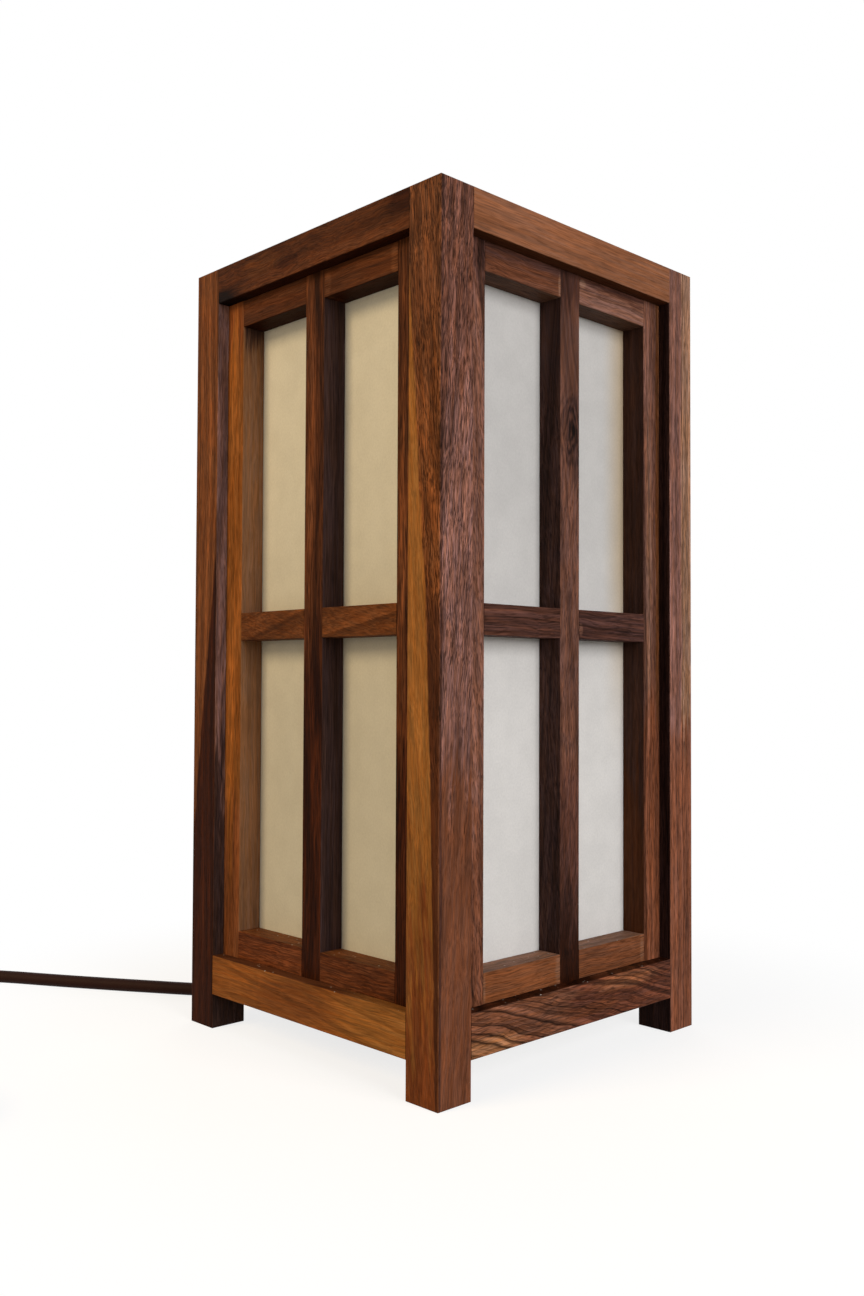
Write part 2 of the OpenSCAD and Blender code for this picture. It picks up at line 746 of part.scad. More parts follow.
// The two blades from depth x0 to x1 before the plug's face; one is wider than the other
module blades(gap, x0, x1) {
    for (s = [-1, 1]) {
        w = (s < 0 ? wide_blade_w : blade_w) + 2 * gap;
        t = blade_t + 2 * gap;
        translate([plug_l + x0, s * blade_pitch / 2 - t / 2, -w / 2]) cube([x1 - x0, t, w]);
    }
}

module plug_blades() {
    hole_x = plug_l + blade_l - blade_hole_in;
    color("gold") at_plug() difference() {
        blades(0, -blade_seat, blade_l);
        translate([hole_x, plug_w / 2, 0]) rotate([90, 0, 0])
            cylinder(r = blade_hole_r, h = plug_w, $fn = 48);
    }
}

for (i = [0:3]) {
    post(i);
    top_rail(i);
    bottom_rail(i);
    stile(i, -1);
    stile(i, 1);
    muntin(i);
    end_stick(i, panel_h - stick_w);
    mid_stick(i);
    end_stick(i, 0);
    paper(i);
}
crossbar();
wood_screws();
holder_body();
holder_shell();
holder_contact();
holder_leads();
bulb_cap();
bulb_contact();
bulb_housing();
bulb_globe();
cord_grip();
cord_sleeve();
cord_lead();
switch_base();
switch_cover();
switch_rocker();
cord_coil();
plug_body();
plug_blades();
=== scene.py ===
import json
import math
import random

import bpy
from mathutils import Matrix, Vector


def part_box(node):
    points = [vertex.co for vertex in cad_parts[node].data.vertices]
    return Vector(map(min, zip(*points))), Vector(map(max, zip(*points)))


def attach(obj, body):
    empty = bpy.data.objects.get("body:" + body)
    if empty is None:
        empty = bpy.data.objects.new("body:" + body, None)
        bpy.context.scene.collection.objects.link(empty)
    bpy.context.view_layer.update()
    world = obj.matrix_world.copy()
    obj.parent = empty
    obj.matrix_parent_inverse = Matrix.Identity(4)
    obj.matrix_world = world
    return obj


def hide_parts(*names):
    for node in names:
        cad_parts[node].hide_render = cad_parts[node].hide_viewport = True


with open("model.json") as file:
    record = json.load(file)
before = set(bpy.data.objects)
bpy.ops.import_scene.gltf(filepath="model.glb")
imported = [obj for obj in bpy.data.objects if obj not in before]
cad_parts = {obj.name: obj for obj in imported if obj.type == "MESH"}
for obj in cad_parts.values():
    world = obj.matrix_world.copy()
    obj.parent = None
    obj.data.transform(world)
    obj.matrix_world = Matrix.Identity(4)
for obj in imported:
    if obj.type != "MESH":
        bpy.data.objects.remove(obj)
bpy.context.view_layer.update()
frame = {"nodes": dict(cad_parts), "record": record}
nodes = frame["nodes"]

X, Y, Z = 0, 1, 2
LEFTWARD, RIGHTWARD, FRONTWARD, BACKWARD = (-1, 0, 0), (1, 0, 0), (0, -1, 0), (0, 1, 0)
DOWNWARD, UPWARD = (0, 0, -1), (0, 0, 1)
# Millimetres in a metre
MM = 1000

# Camera, fitted to the photograph by its perspective
CAMERA_AT = (-0.4196, -0.4267, 0.1701)
CAMERA_AZIMUTH = math.radians(44.03)
CAMERA_ELEVATION = math.radians(1.61)
CAMERA_ROLL = math.radians(0.23)
CAMERA_LENS = 33.06
CAMERA_SENSOR = 36


def make_camera():
    ahead = Vector((
        math.sin(CAMERA_AZIMUTH) * math.cos(CAMERA_ELEVATION),
        math.cos(CAMERA_AZIMUTH) * math.cos(CAMERA_ELEVATION),
        math.sin(CAMERA_ELEVATION),
    ))
    level = Vector((math.cos(CAMERA_AZIMUTH), -math.sin(CAMERA_AZIMUTH), 0))
    right = level * math.cos(CAMERA_ROLL) + level.cross(ahead) * math.sin(CAMERA_ROLL)
    up = right.cross(ahead)
    data = bpy.data.cameras.new("camera")
    data.lens = CAMERA_LENS
    data.sensor_width = CAMERA_SENSOR
    data.sensor_fit = "AUTO"
    data.clip_start = 0.01
    camera = bpy.data.objects.new("camera", data)
    turn = Matrix((right, up, -ahead)).transposed().to_4x4()
    camera.matrix_world = Matrix.Translation(CAMERA_AT) @ turn
    bpy.context.collection.objects.link(camera)
    bpy.context.scene.camera = camera


make_camera()


# Meshes

def add_mesh(name, points, faces, smooth=True):
    mesh = bpy.data.meshes.new(name)
    mesh.from_pydata([tuple(p) for p in points], [], faces)
    mesh.polygons.foreach_set("use_smooth", [smooth] * len(mesh.polygons))
    mesh.update()
    piece = bpy.data.objects.new(name, mesh)
    bpy.context.collection.objects.link(piece)
    return piece


def skin(name, rings, closed=False):
    """A surface through rings of as many points each. It has flat ends, or if closed, the last
    ring is joined to the first."""
    size = len(rings[0])
    points = [p for ring in rings for p in ring]
    faces = []
    for k in range(len(rings) if closed else len(rings) - 1):
        low, high = k * size, (k + 1) % len(rings) * size
        for j in range(size):
            following = (j + 1) % size
            faces.append((low + j, low + following, high + following, high + j))
    if not closed:
        faces.append(tuple(reversed(range(size))))
        faces.append(tuple(range(len(points) - size, len(points))))
    return add_mesh(name, points, faces)


def turned(name, profile, where, steps=96, swell=None, closed=False):
    """A piece turned about the z axis of a frame from a profile of (radius, height).
    swell(angle, height) is added to the radius. A closed profile goes round, as a ring's does."""
    rings = []
    for radius, height in profile:
        ring = []
        for j in range(steps):
            angle = 2 * math.pi * j / steps
            r = radius + (swell(angle, height) if swell else 0)
            ring.append(where @ Vector((r * math.cos(angle), r * math.sin(angle), height)))
        rings.append(ring)
    return skin(name, rings, closed)


def dense(profile, step):
    """The profile with further points, so that none lie more than step apart."""
    out = [profile[0]]
    for a, b in zip(profile, profile[1:]):
        count = max(1, math.ceil(math.dist(a, b) / step))
        out += [tuple(p + (q - p) * k / count for p, q in zip(a, b)) for k in range(1, count + 1)]
    return out


def oval(middle, wide, high, steps=12):
    """A closed profile round a middle."""
    turns = [2 * math.pi * k / steps for k in range(steps)]
    return [(middle[0] + wide * math.cos(a), middle[1] + high * math.sin(a)) for a in turns]


def place(point, ahead=UPWARD, turn=0):
    """A frame in millimetres whose z axis points ahead from a point."""
    lean = Vector(ahead).to_track_quat("Z", "Y").to_matrix().to_4x4()
    spin = Matrix.Rotation(turn, 4, "Z")
    return Matrix.Translation(Vector(point) / MM) @ lean @ spin @ Matrix.Scale(1 / MM, 4)


def ease(t):
    """0 to 1 as t goes from 0 to 1, starting and ending gently."""
    return (1 - math.cos(math.pi * max(0, min(1, t)))) / 2


def thread(low, high, pitch, depth):
    """The swell of a screw thread cut between two heights."""
    def swell(angle, height):
        run = ease((height - low) / pitch) * ease((high - height) / pitch)
        return -depth * run * (0.5 - 0.5 * math.cos(2 * math.pi * height / pitch - angle))
    return swell


def applied(piece):
    """Gives a piece the mesh that its modifiers make, and removes them."""
    graph = bpy.context.evaluated_depsgraph_get()
    mesh = bpy.data.meshes.new_from_object(piece.evaluated_get(graph))
    piece.modifiers.clear()
    piece.data = mesh
    return piece


def rounded(piece, width, segments=3, angle=30):
    """Rounds the edges of a piece that are sharper than angle."""
    bevel = piece.modifiers.new("round", "BEVEL")
    bevel.width = width
    bevel.segments = segments
    bevel.limit_method = "ANGLE"
    bevel.angle_limit = math.radians(angle)
    bevel.harden_normals = False
    return applied(piece)


def block(name, where, size):
    """A box about the middle of a frame."""
    corners = [
        where @ Vector((x * size[0] / 2, y * size[1] / 2, z * size[2] / 2))
        for z in (-1, 1) for x, y in ((-1, -1), (1, -1), (1, 1), (-1, 1))]
    sides = [(k, (k + 1) % 4, (k + 1) % 4 + 4, k + 4) for k in range(4)]
    return add_mesh(name, corners, [(3, 2, 1, 0), (4, 5, 6, 7), *sides], smooth=False)


def carved(piece, cutter):
    """Cuts one piece's shape out of another."""
    cut = piece.modifiers.new("cut", "BOOLEAN")
    cut.object = cutter
    cut.solver = "EXACT"
    applied(piece)
    bpy.data.objects.remove(cutter)
    return piece


def joined(name, pieces):
    """One object that holds the meshes of several."""
    points, faces = [], []
    for piece in pieces:
        start = len(points)
        points += [piece.matrix_world @ v.co for v in piece.data.vertices]
        faces += [tuple(start + k for k in f.vertices) for f in piece.data.polygons]
        bpy.data.objects.remove(piece)
    return add_mesh(name, points, faces)


def smooth_by_angle(piece, angle):
    """Shades smooth but for edges sharper than angle."""
    piece.data.shade_smooth()
    piece.data.set_sharp_from_angle(angle=math.radians(angle))
    return piece


def settled(piece, body, slot, material, *replaced):
    """Puts a finished piece on its body and in place of its CAD nodes. Its slot is not used."""
    piece.data.materials.clear()
    piece.data.materials.append(material)
    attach(piece, body)
    if replaced:
        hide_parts(*replaced)
    return piece


# Shader recipes. Lengths in them are millimetres in the row frame.

class Num:
    """A value that the shader works out at each point: a number, a vector or a colour."""

    def __init__(self, tree, socket):
        self.tree = tree
        self.socket = socket

    def __add__(self, other):
        return self.tree.math("ADD", self, other)

    def __sub__(self, other):
        return self.tree.math("SUBTRACT", self, other)

    def __rsub__(self, other):
        return self.tree.math("SUBTRACT", other, self)

    def __mul__(self, other):
        return self.tree.math("MULTIPLY", self, other)

    __radd__ = __add__
    __rmul__ = __mul__


class Tree:
    """A material or world whose nodes are built up as formulas."""

    def __init__(self, owner):
        self.owner = owner
        self.owner.use_nodes = True
        self.nodes = self.owner.node_tree.nodes
        self.links = self.owner.node_tree.links
        self.nodes.clear()

    def feed(self, socket, value):
        if isinstance(value, Num):
            self.links.new(value.socket, socket)
        else:
            socket.default_value = value

    def math(self, operation, *values):
        node = self.nodes.new("ShaderNodeMath")
        node.operation = operation
        for socket, value in zip(node.inputs, values):
            self.feed(socket, value)
        return Num(self, node.outputs[0])

    def vector(self, operation, *values, scale=None):
        node = self.nodes.new("ShaderNodeVectorMath")
        node.operation = operation
        for socket, value in zip(node.inputs, values):
            self.feed(socket, value)
        if scale is not None:
            self.feed(node.inputs["Scale"], scale)
        number = operation in ("LENGTH", "DOT_PRODUCT")
        return Num(self, node.outputs["Value" if number else "Vector"])

    def here(self):
        """The point in millimetres, as it lies at rest."""
        node = self.nodes.new("ShaderNodeTexCoord")
        return self.vector("SCALE", Num(self, node.outputs["Object"]), scale=float(MM))

    def normal(self):
        return Num(self, self.nodes.new("ShaderNodeTexCoord").outputs["Normal"])

    def split(self, vector):
        node = self.nodes.new("ShaderNodeSeparateXYZ")
        self.feed(node.inputs[0], vector)
        return [Num(self, socket) for socket in node.outputs]

    def noise(self, at, scale=1.0, detail=2.0, rough=0.5, colour=False, line=False):
        """Noise at a point, or with line along one number."""
        node = self.nodes.new("ShaderNodeTexNoise")
        node.noise_dimensions = "1D" if line else "3D"
        self.feed(node.inputs["W" if line else "Vector"], at)
        node.inputs["Scale"].default_value = scale
        node.inputs["Detail"].default_value = detail
        node.inputs["Roughness"].default_value = rough
        return Num(self, node.outputs["Color" if colour else "Fac"])

    def cells(self, at, scale=1.0):
        """Distance to the nearest of scattered points, in cells."""
        node = self.nodes.new("ShaderNodeTexVoronoi")
        self.feed(node.inputs["Vector"], at)
        node.inputs["Scale"].default_value = scale
        return Num(self, node.outputs["Distance"])

    def step(self, value, low, high, start=0.0, end=1.0):
        """Runs smoothly from start to end as value goes from low to high."""
        node = self.nodes.new("ShaderNodeMapRange")
        node.interpolation_type = "SMOOTHSTEP"
        sockets = ("Value", "From Min", "From Max", "To Min", "To Max")
        for name, fed in zip(sockets, (value, low, high, start, end)):
            self.feed(node.inputs[name], fed)
        return Num(self, node.outputs["Result"])

    def blend(self, share, a, b):
        """Colour a where share is 0 and b where it is 1."""
        node = self.nodes.new("ShaderNodeMix")
        node.data_type = "RGBA"
        self.feed(node.inputs["Factor"], share)
        colours = [socket for socket in node.inputs if socket.type == "RGBA"]
        for socket, value in zip(colours, (a, b)):
            self.feed(socket, value if isinstance(value, Num) else (*value, 1.0))
        return Num(self, next(socket for socket in node.outputs if socket.type == "RGBA"))

    def shade(self, colour, factor):
        return self.vector("SCALE", colour, scale=factor)

    def bump(self, height, distance):
        """A normal from height in 0 to 1, for a relief of distance millimetres."""
        node = self.nodes.new("ShaderNodeBump")
        node.inputs["Strength"].default_value = 1.0
        node.inputs["Distance"].default_value = distance / MM
        self.feed(node.inputs["Height"], height)
        return Num(self, node.outputs["Normal"])

    def principled(self, **inputs):
        node = self.nodes.new("ShaderNodeBsdfPrincipled")
        for name, value in inputs.items():
            socket = node.inputs[name.replace("_", " ")]
            if not isinstance(value, Num) and socket.type == "RGBA":
                value = (*value, 1.0)
            self.feed(socket, value)
        return Num(self, node.outputs["BSDF"])

    def seen(self):
        """1 for what the camera sees, also in metal and through glass, and 0 for light."""
        path = self.nodes.new("ShaderNodeLightPath")
        rays = [Num(self, path.outputs[f"Is {kind} Ray"]) for kind in ("Camera", "Glossy", "Transmission")]
        return self.math("MAXIMUM", self.math("MAXIMUM", rays[0], rays[1]), rays[2])

    def mixed(self, share, a, b):
        """Shader a where share is 0 and b where it is 1."""
        node = self.nodes.new("ShaderNodeMixShader")
        for socket, value in zip(node.inputs, (share, a, b)):
            self.feed(socket, value)
        return Num(self, node.outputs[0])

    def finish(self, surface, kind="Material"):
        out = self.nodes.new(f"ShaderNodeOutput{kind}")
        self.links.new(surface.socket, out.inputs["Surface"])
        return self.owner


def material_tree(name):
    return Tree(bpy.data.materials.new(name))


def fit(piece, material):
    """Gives a CAD node's object one material on all its slots."""
    for slot in piece.material_slots:
        slot.material = material


def plastic(name, colour, rough=0.45, grain=0.03, seam=None, cloud=0.06, shine=0.5):
    """A moulded plastic with a fine texture. seam is the height of a parting line."""
    tree = material_tree(name)
    here = tree.here()
    fine = tree.noise(here, scale=3.0)
    broad = tree.noise(here, scale=0.12)
    shade = tree.step(broad, 0.3, 0.7, 1 - cloud, 1 + cloud)
    height = fine
    if seam is not None:
        line = tree.step(tree.math("ABSOLUTE", tree.split(here)[Z] - seam), 0.08, 0.25)
        shade = shade * (0.45 + line * 0.55)
        height = fine * 0.3 + line
    return tree.finish(tree.principled(
        Base_Color=tree.shade(colour, shade), Specular_IOR_Level=shine,
        Roughness=tree.step(fine, 0.3, 0.7, rough - 0.05, rough + 0.06), Normal=tree.bump(height, grain)))


def metal(name, colour, rough=0.25, scratch=(0.4, 0.4, 6.0)):
    """A metal with fine lines and faint stains. scratch is how fast its lines change along each axis."""
    tree = material_tree(name)
    here = tree.here()
    lines = tree.noise(tree.vector("MULTIPLY", here, scratch), detail=3.0, rough=0.7)
    stain = tree.noise(here, scale=0.25)
    return tree.finish(tree.principled(
        Base_Color=tree.shade(colour, tree.step(stain, 0.3, 0.7, 0.8, 1.05)), Metallic=1.0,
        Roughness=tree.step(lines, 0.3, 0.7, rough - 0.06, rough + 0.1), Normal=tree.bump(lines, 0.01)))


# Cord: the same points and the same coil as in the part's source, in metres
CORD_D = 0.0066
CORD_Z = 0.0034
CORD_STEP = 0.003
SLEEVE_TIP = (-0.020, 0.042, 0.01745)
LEAD_ROUTE = [
    (-0.0205, 0.051, 0.017), (-0.022, 0.060, 0.0145), (-0.0245, 0.0685, 0.009),
    (-0.0275, 0.077, 0.0045), (-0.0315, 0.085, CORD_Z), (-0.0365, 0.0925, CORD_Z),
    (-0.046, 0.1065, CORD_Z), (-0.0555, 0.1205, CORD_Z), (-0.0655, 0.1345, CORD_Z),
    (-0.075, 0.1485, CORD_Z), (-0.0845, 0.1625, CORD_Z), (-0.094, 0.177, CORD_Z),
    (-0.103, 0.191, CORD_Z), (-0.112, 0.2055, CORD_Z), (-0.121, 0.220, CORD_Z),
    (-0.131, 0.2335, CORD_Z), (-0.144, 0.2445, CORD_Z), (-0.159, 0.2525, CORD_Z),
    (-0.1755, 0.2565, CORD_Z), (-0.1925, 0.2565, CORD_Z), (-0.209, 0.2525, CORD_Z),
    (-0.224, 0.2445, CORD_Z), (-0.237, 0.2335, CORD_Z), (-0.247, 0.220, CORD_Z),
    (-0.2525, 0.2085, CORD_Z), (-0.2555, 0.2015, 0.0045), (-0.259, 0.194, 0.0065),
    (-0.262, 0.1865, 0.0085)]
SWITCH_AT = Vector((-0.281, 0.144, 0))
SWITCH_HEADING = math.radians(246)
SWITCH_SPLIT = 0.009
SWITCH_REACH = 0.037
COIL_R = 0.0475
COIL_TURNS = 5
COIL_PITCH = 0.0072
COIL_LEAD = 0.037
COIL_STEPS = 96
PLUG_TAIL = 0.034
PLUG_Z = 0.009


def switch_axes():
    ahead = Vector((math.cos(SWITCH_HEADING), math.sin(SWITCH_HEADING), 0))
    return ahead, Vector((-ahead.y, ahead.x, 0))


def coil_path():
    """Points from the switch through the coil to the plug, and the coil's middle."""
    ahead, left = switch_axes()
    out = SWITCH_AT + SWITCH_REACH * ahead
    start = SWITCH_HEADING - math.pi / 2
    sweep = 2 * math.pi * (COIL_TURNS + 1) - start
    begin = out + COIL_LEAD * ahead
    middle = begin + COIL_R * left
    points = []
    for t in (0, 0.19, 0.34, 0.49, 0.64, 0.79):
        p = out.lerp(begin, t)
        points.append((p.x, p.y, SWITCH_SPLIT + (CORD_Z - SWITCH_SPLIT) * ease((t - 0.15) / 0.8)))
    count = round(sweep / (2 * math.pi) * COIL_STEPS)
    for k in range(count + 1):
        a = sweep * k / count
        r = COIL_R - COIL_PITCH * min(a, sweep - a) / (2 * math.pi)
        z = CORD_Z + COIL_PITCH * ease((a - sweep / 2) / math.pi + 0.5)
        points.append((middle.x + r * math.cos(start + a), middle.y + r * math.sin(start + a), z))
    _, y, z = points[-1]
    for t in (0.2, 0.4, 0.6, 0.8, 1):
        rise = (PLUG_Z - z) * ease(t / 0.8)
        points.append((middle.x + COIL_R, y + (middle.y + PLUG_TAIL - y) * t, z + rise))
    return points, middle


def smooth_path(points, step):
    """Points about step apart along a smooth curve through the given ones."""
    pts = [Vector(p) for p in points]
    pts = [2 * pts[0] - pts[1], *pts, 2 * pts[-1] - pts[-2]]
    out = []
    for a, b, c, d in zip(pts, pts[1:], pts[2:], pts[3:]):
        count = max(1, round((c - b).length / step))
        for k in range(count):
            t = k / count
            out.append(0.5 * (2 * b + (c - a) * t + (2 * a - 5 * b + 4 * c - d) * t * t
                              + (3 * b - a - 3 * c + d) * t ** 3))
    return [*out, pts[-2]]


def make_cord():
    """The cord from its strain relief to its plug. Gives the piece and its length."""
    ahead, _ = switch_axes()
    switch_in = SWITCH_AT - SWITCH_REACH * ahead
    coil, _ = coil_path()
    lead = [SLEEVE_TIP, *LEAD_ROUTE, (switch_in.x, switch_in.y, SWITCH_SPLIT)]
    path = smooth_path(lead, CORD_STEP) + smooth_path(coil, CORD_STEP)
    curve = bpy.data.curves.new("cord", "CURVE")
    curve.dimensions = "3D"
    curve.bevel_depth = CORD_D / 2
    curve.bevel_resolution = 5
    curve.use_fill_caps = True
    curve.twist_mode = "MINIMUM"
    spline = curve.splines.new("POLY")
    spline.points.add(len(path) - 1)
    for point, p in zip(spline.points, path):
        point.co = (*p, 1)
    cord = bpy.data.objects.new("cord", curve)
    bpy.context.collection.objects.link(cord)
    cord_brown = plastic("cord_jacket", (0.016, 0.0045, 0.0022), 0.6, 0.006, shine=0.08)
    settled(cord, "lamp", "cord_jacket", cord_brown, "cord_lead", "cord_coil")
    return cord, sum((b - a).length for a, b in zip(path, path[1:]))


cord, cord_length = make_cord()


# Tie round the coil, at an angle where the turns lie evenly, in millimetres
TIE_ANGLE = math.radians(262)
TIE_W = 3.6
TIE_T = 0.55
TIE_OVER_FLOOR = 0.12
TAIL_L = 9
TAIL_DROP = 2.2
TAIL_TURNS = 3.5
TAIL_STRAND_R = 0.42
TAIL_STRANDS_OFF = 0.45


def hull(points):
    """The convex outline of points in a plane, counterclockwise."""
    points = sorted(points)
    out = []
    for run in (points, points[::-1]):
        side = []
        for p in run:
            while len(side) > 1 and (
                    (side[-1][0] - side[-2][0]) * (p[1] - side[-2][1])
                    <= (side[-1][1] - side[-2][1]) * (p[0] - side[-2][0])):
                side.pop()
            side.append(p)
        out += side[:-1]
    return out


def make_tie():
    """A flat wire tie that follows the outside of the turns, with its ends twisted together."""
    outward = Vector((math.cos(TIE_ANGLE), math.sin(TIE_ANGLE), 0))
    along = Vector((-outward.y, outward.x, 0))
    coil, coil_middle = coil_path()
    turns = []
    for a, b in zip(coil, coil[1:]):
        a, b = Vector(a) - coil_middle, Vector(b) - coil_middle
        da, db = a.dot(along), b.dot(along)
        if da < 0 <= db and a.dot(outward) > 0:
            p = a.lerp(b, -da / (db - da))
            turns.append((p.dot(outward) * MM, p.z * MM))
    reach = CORD_D * MM / 2
    outline = hull([p for turn in turns for p in oval(turn, reach, reach, 32)])
    middle = (sum(r for r, _ in outline) / len(outline), sum(z for _, z in outline) / len(outline))

    def point(r, z, side):
        return coil_middle + outward * (r / MM) + along * (side / MM) + Vector((0, 0, z / MM))

    rings = []
    for r, z in outline:
        away = Vector((r - middle[0], z - middle[1])).normalized() * TIE_T
        inner = (r, max(z, TIE_OVER_FLOOR))
        outer = (r + away.x, max(z + away.y, 0.02))
        rings.append([
            point(*inner, -TIE_W / 2), point(*outer, -TIE_W / 2),
            point(*outer, TIE_W / 2), point(*inner, TIE_W / 2)])
    band = skin("tie_band", rings, closed=True)
    top_r, top_z = max(outline, key=lambda p: p[1])
    twists = []
    for phase in (0, math.pi):
        tail = []
        for k in range(49):
            t = k / 48
            turn = phase + 2 * math.pi * TAIL_TURNS * t
            z = top_z + TIE_T + 0.9 - TAIL_DROP * ease(t)
            centre = point(
                top_r + TAIL_L * t, z + TAIL_STRANDS_OFF * math.sin(turn), TAIL_STRANDS_OFF * math.cos(turn))
            round_it = oval((0, 0), TAIL_STRAND_R, TAIL_STRAND_R, 8)
            tail.append([centre + along * (a / MM) + Vector((0, 0, b / MM)) for a, b in round_it])
        twists.append(skin("tie_tail", tail))
    tie_black = plastic("tie", (0.016, 0.016, 0.017), 0.45, 0.02)
    settled(smooth_by_angle(joined("cord_tie", [band, *twists]), 40), "lamp", "grip_plastic", tie_black)


make_tie()


# Walnut: each tone is the middle colour of its light and dark bands
AMBER = (0.240, 0.100, 0.027)
HONEY = (0.205, 0.072, 0.018)
CARAMEL = (0.194, 0.077, 0.037)
TAN = (0.230, 0.120, 0.072)
SAND = (0.290, 0.125, 0.052)
CHESTNUT = (0.150, 0.052, 0.022)
CINNAMON = (0.172, 0.058, 0.022)
RUST = (0.152, 0.048, 0.016)
RUSSET = (0.126, 0.044, 0.016)
MAHOGANY = (0.080, 0.027, 0.011)
SEPIA = (0.058, 0.019, 0.008)
ROSE = (0.170, 0.078, 0.052)
MAUVE = (0.215, 0.111, 0.086)
PLUM = (0.150, 0.068, 0.050)
HEATHER = (0.130, 0.056, 0.037)
DAMSON = (0.062, 0.025, 0.017)
TAUPE = (0.240, 0.115, 0.055)
DRAB = (0.190, 0.095, 0.058)
SLATE = (0.046, 0.024, 0.019)
UMBER = (0.030, 0.008, 0.003)
EBONY = (0.025, 0.0115, 0.0095)
BLACK = (0.008, 0.004, 0.003)
DUST = (0.55, 0.50, 0.44)
# What its coolest and warmest fibres make of a tone
VIOLET = (0.95, 1.02, 1.13)
ORANGE = (1.05, 0.98, 0.87)
# How fast each part of the figure changes, per millimetre across and along the grain
FIBRES = (1.5, 0.09)
PORES = (1.8, 0.18)
HUES = (0.8, 0.04)
STREAKS = (0.30, 0.014)
CLOUDS = (0.06, 0.02)
FRAY = (0.30, 0.02)
WAVES = (0.018, 0.007)
RIPPLES = (0.16, 0.045)
BENDS = (0.07, 0.05)
# The phases of noise that a piece may start from
ANY_PHASE = (0, 99)
ANY_SHIFT = (-900, 900)


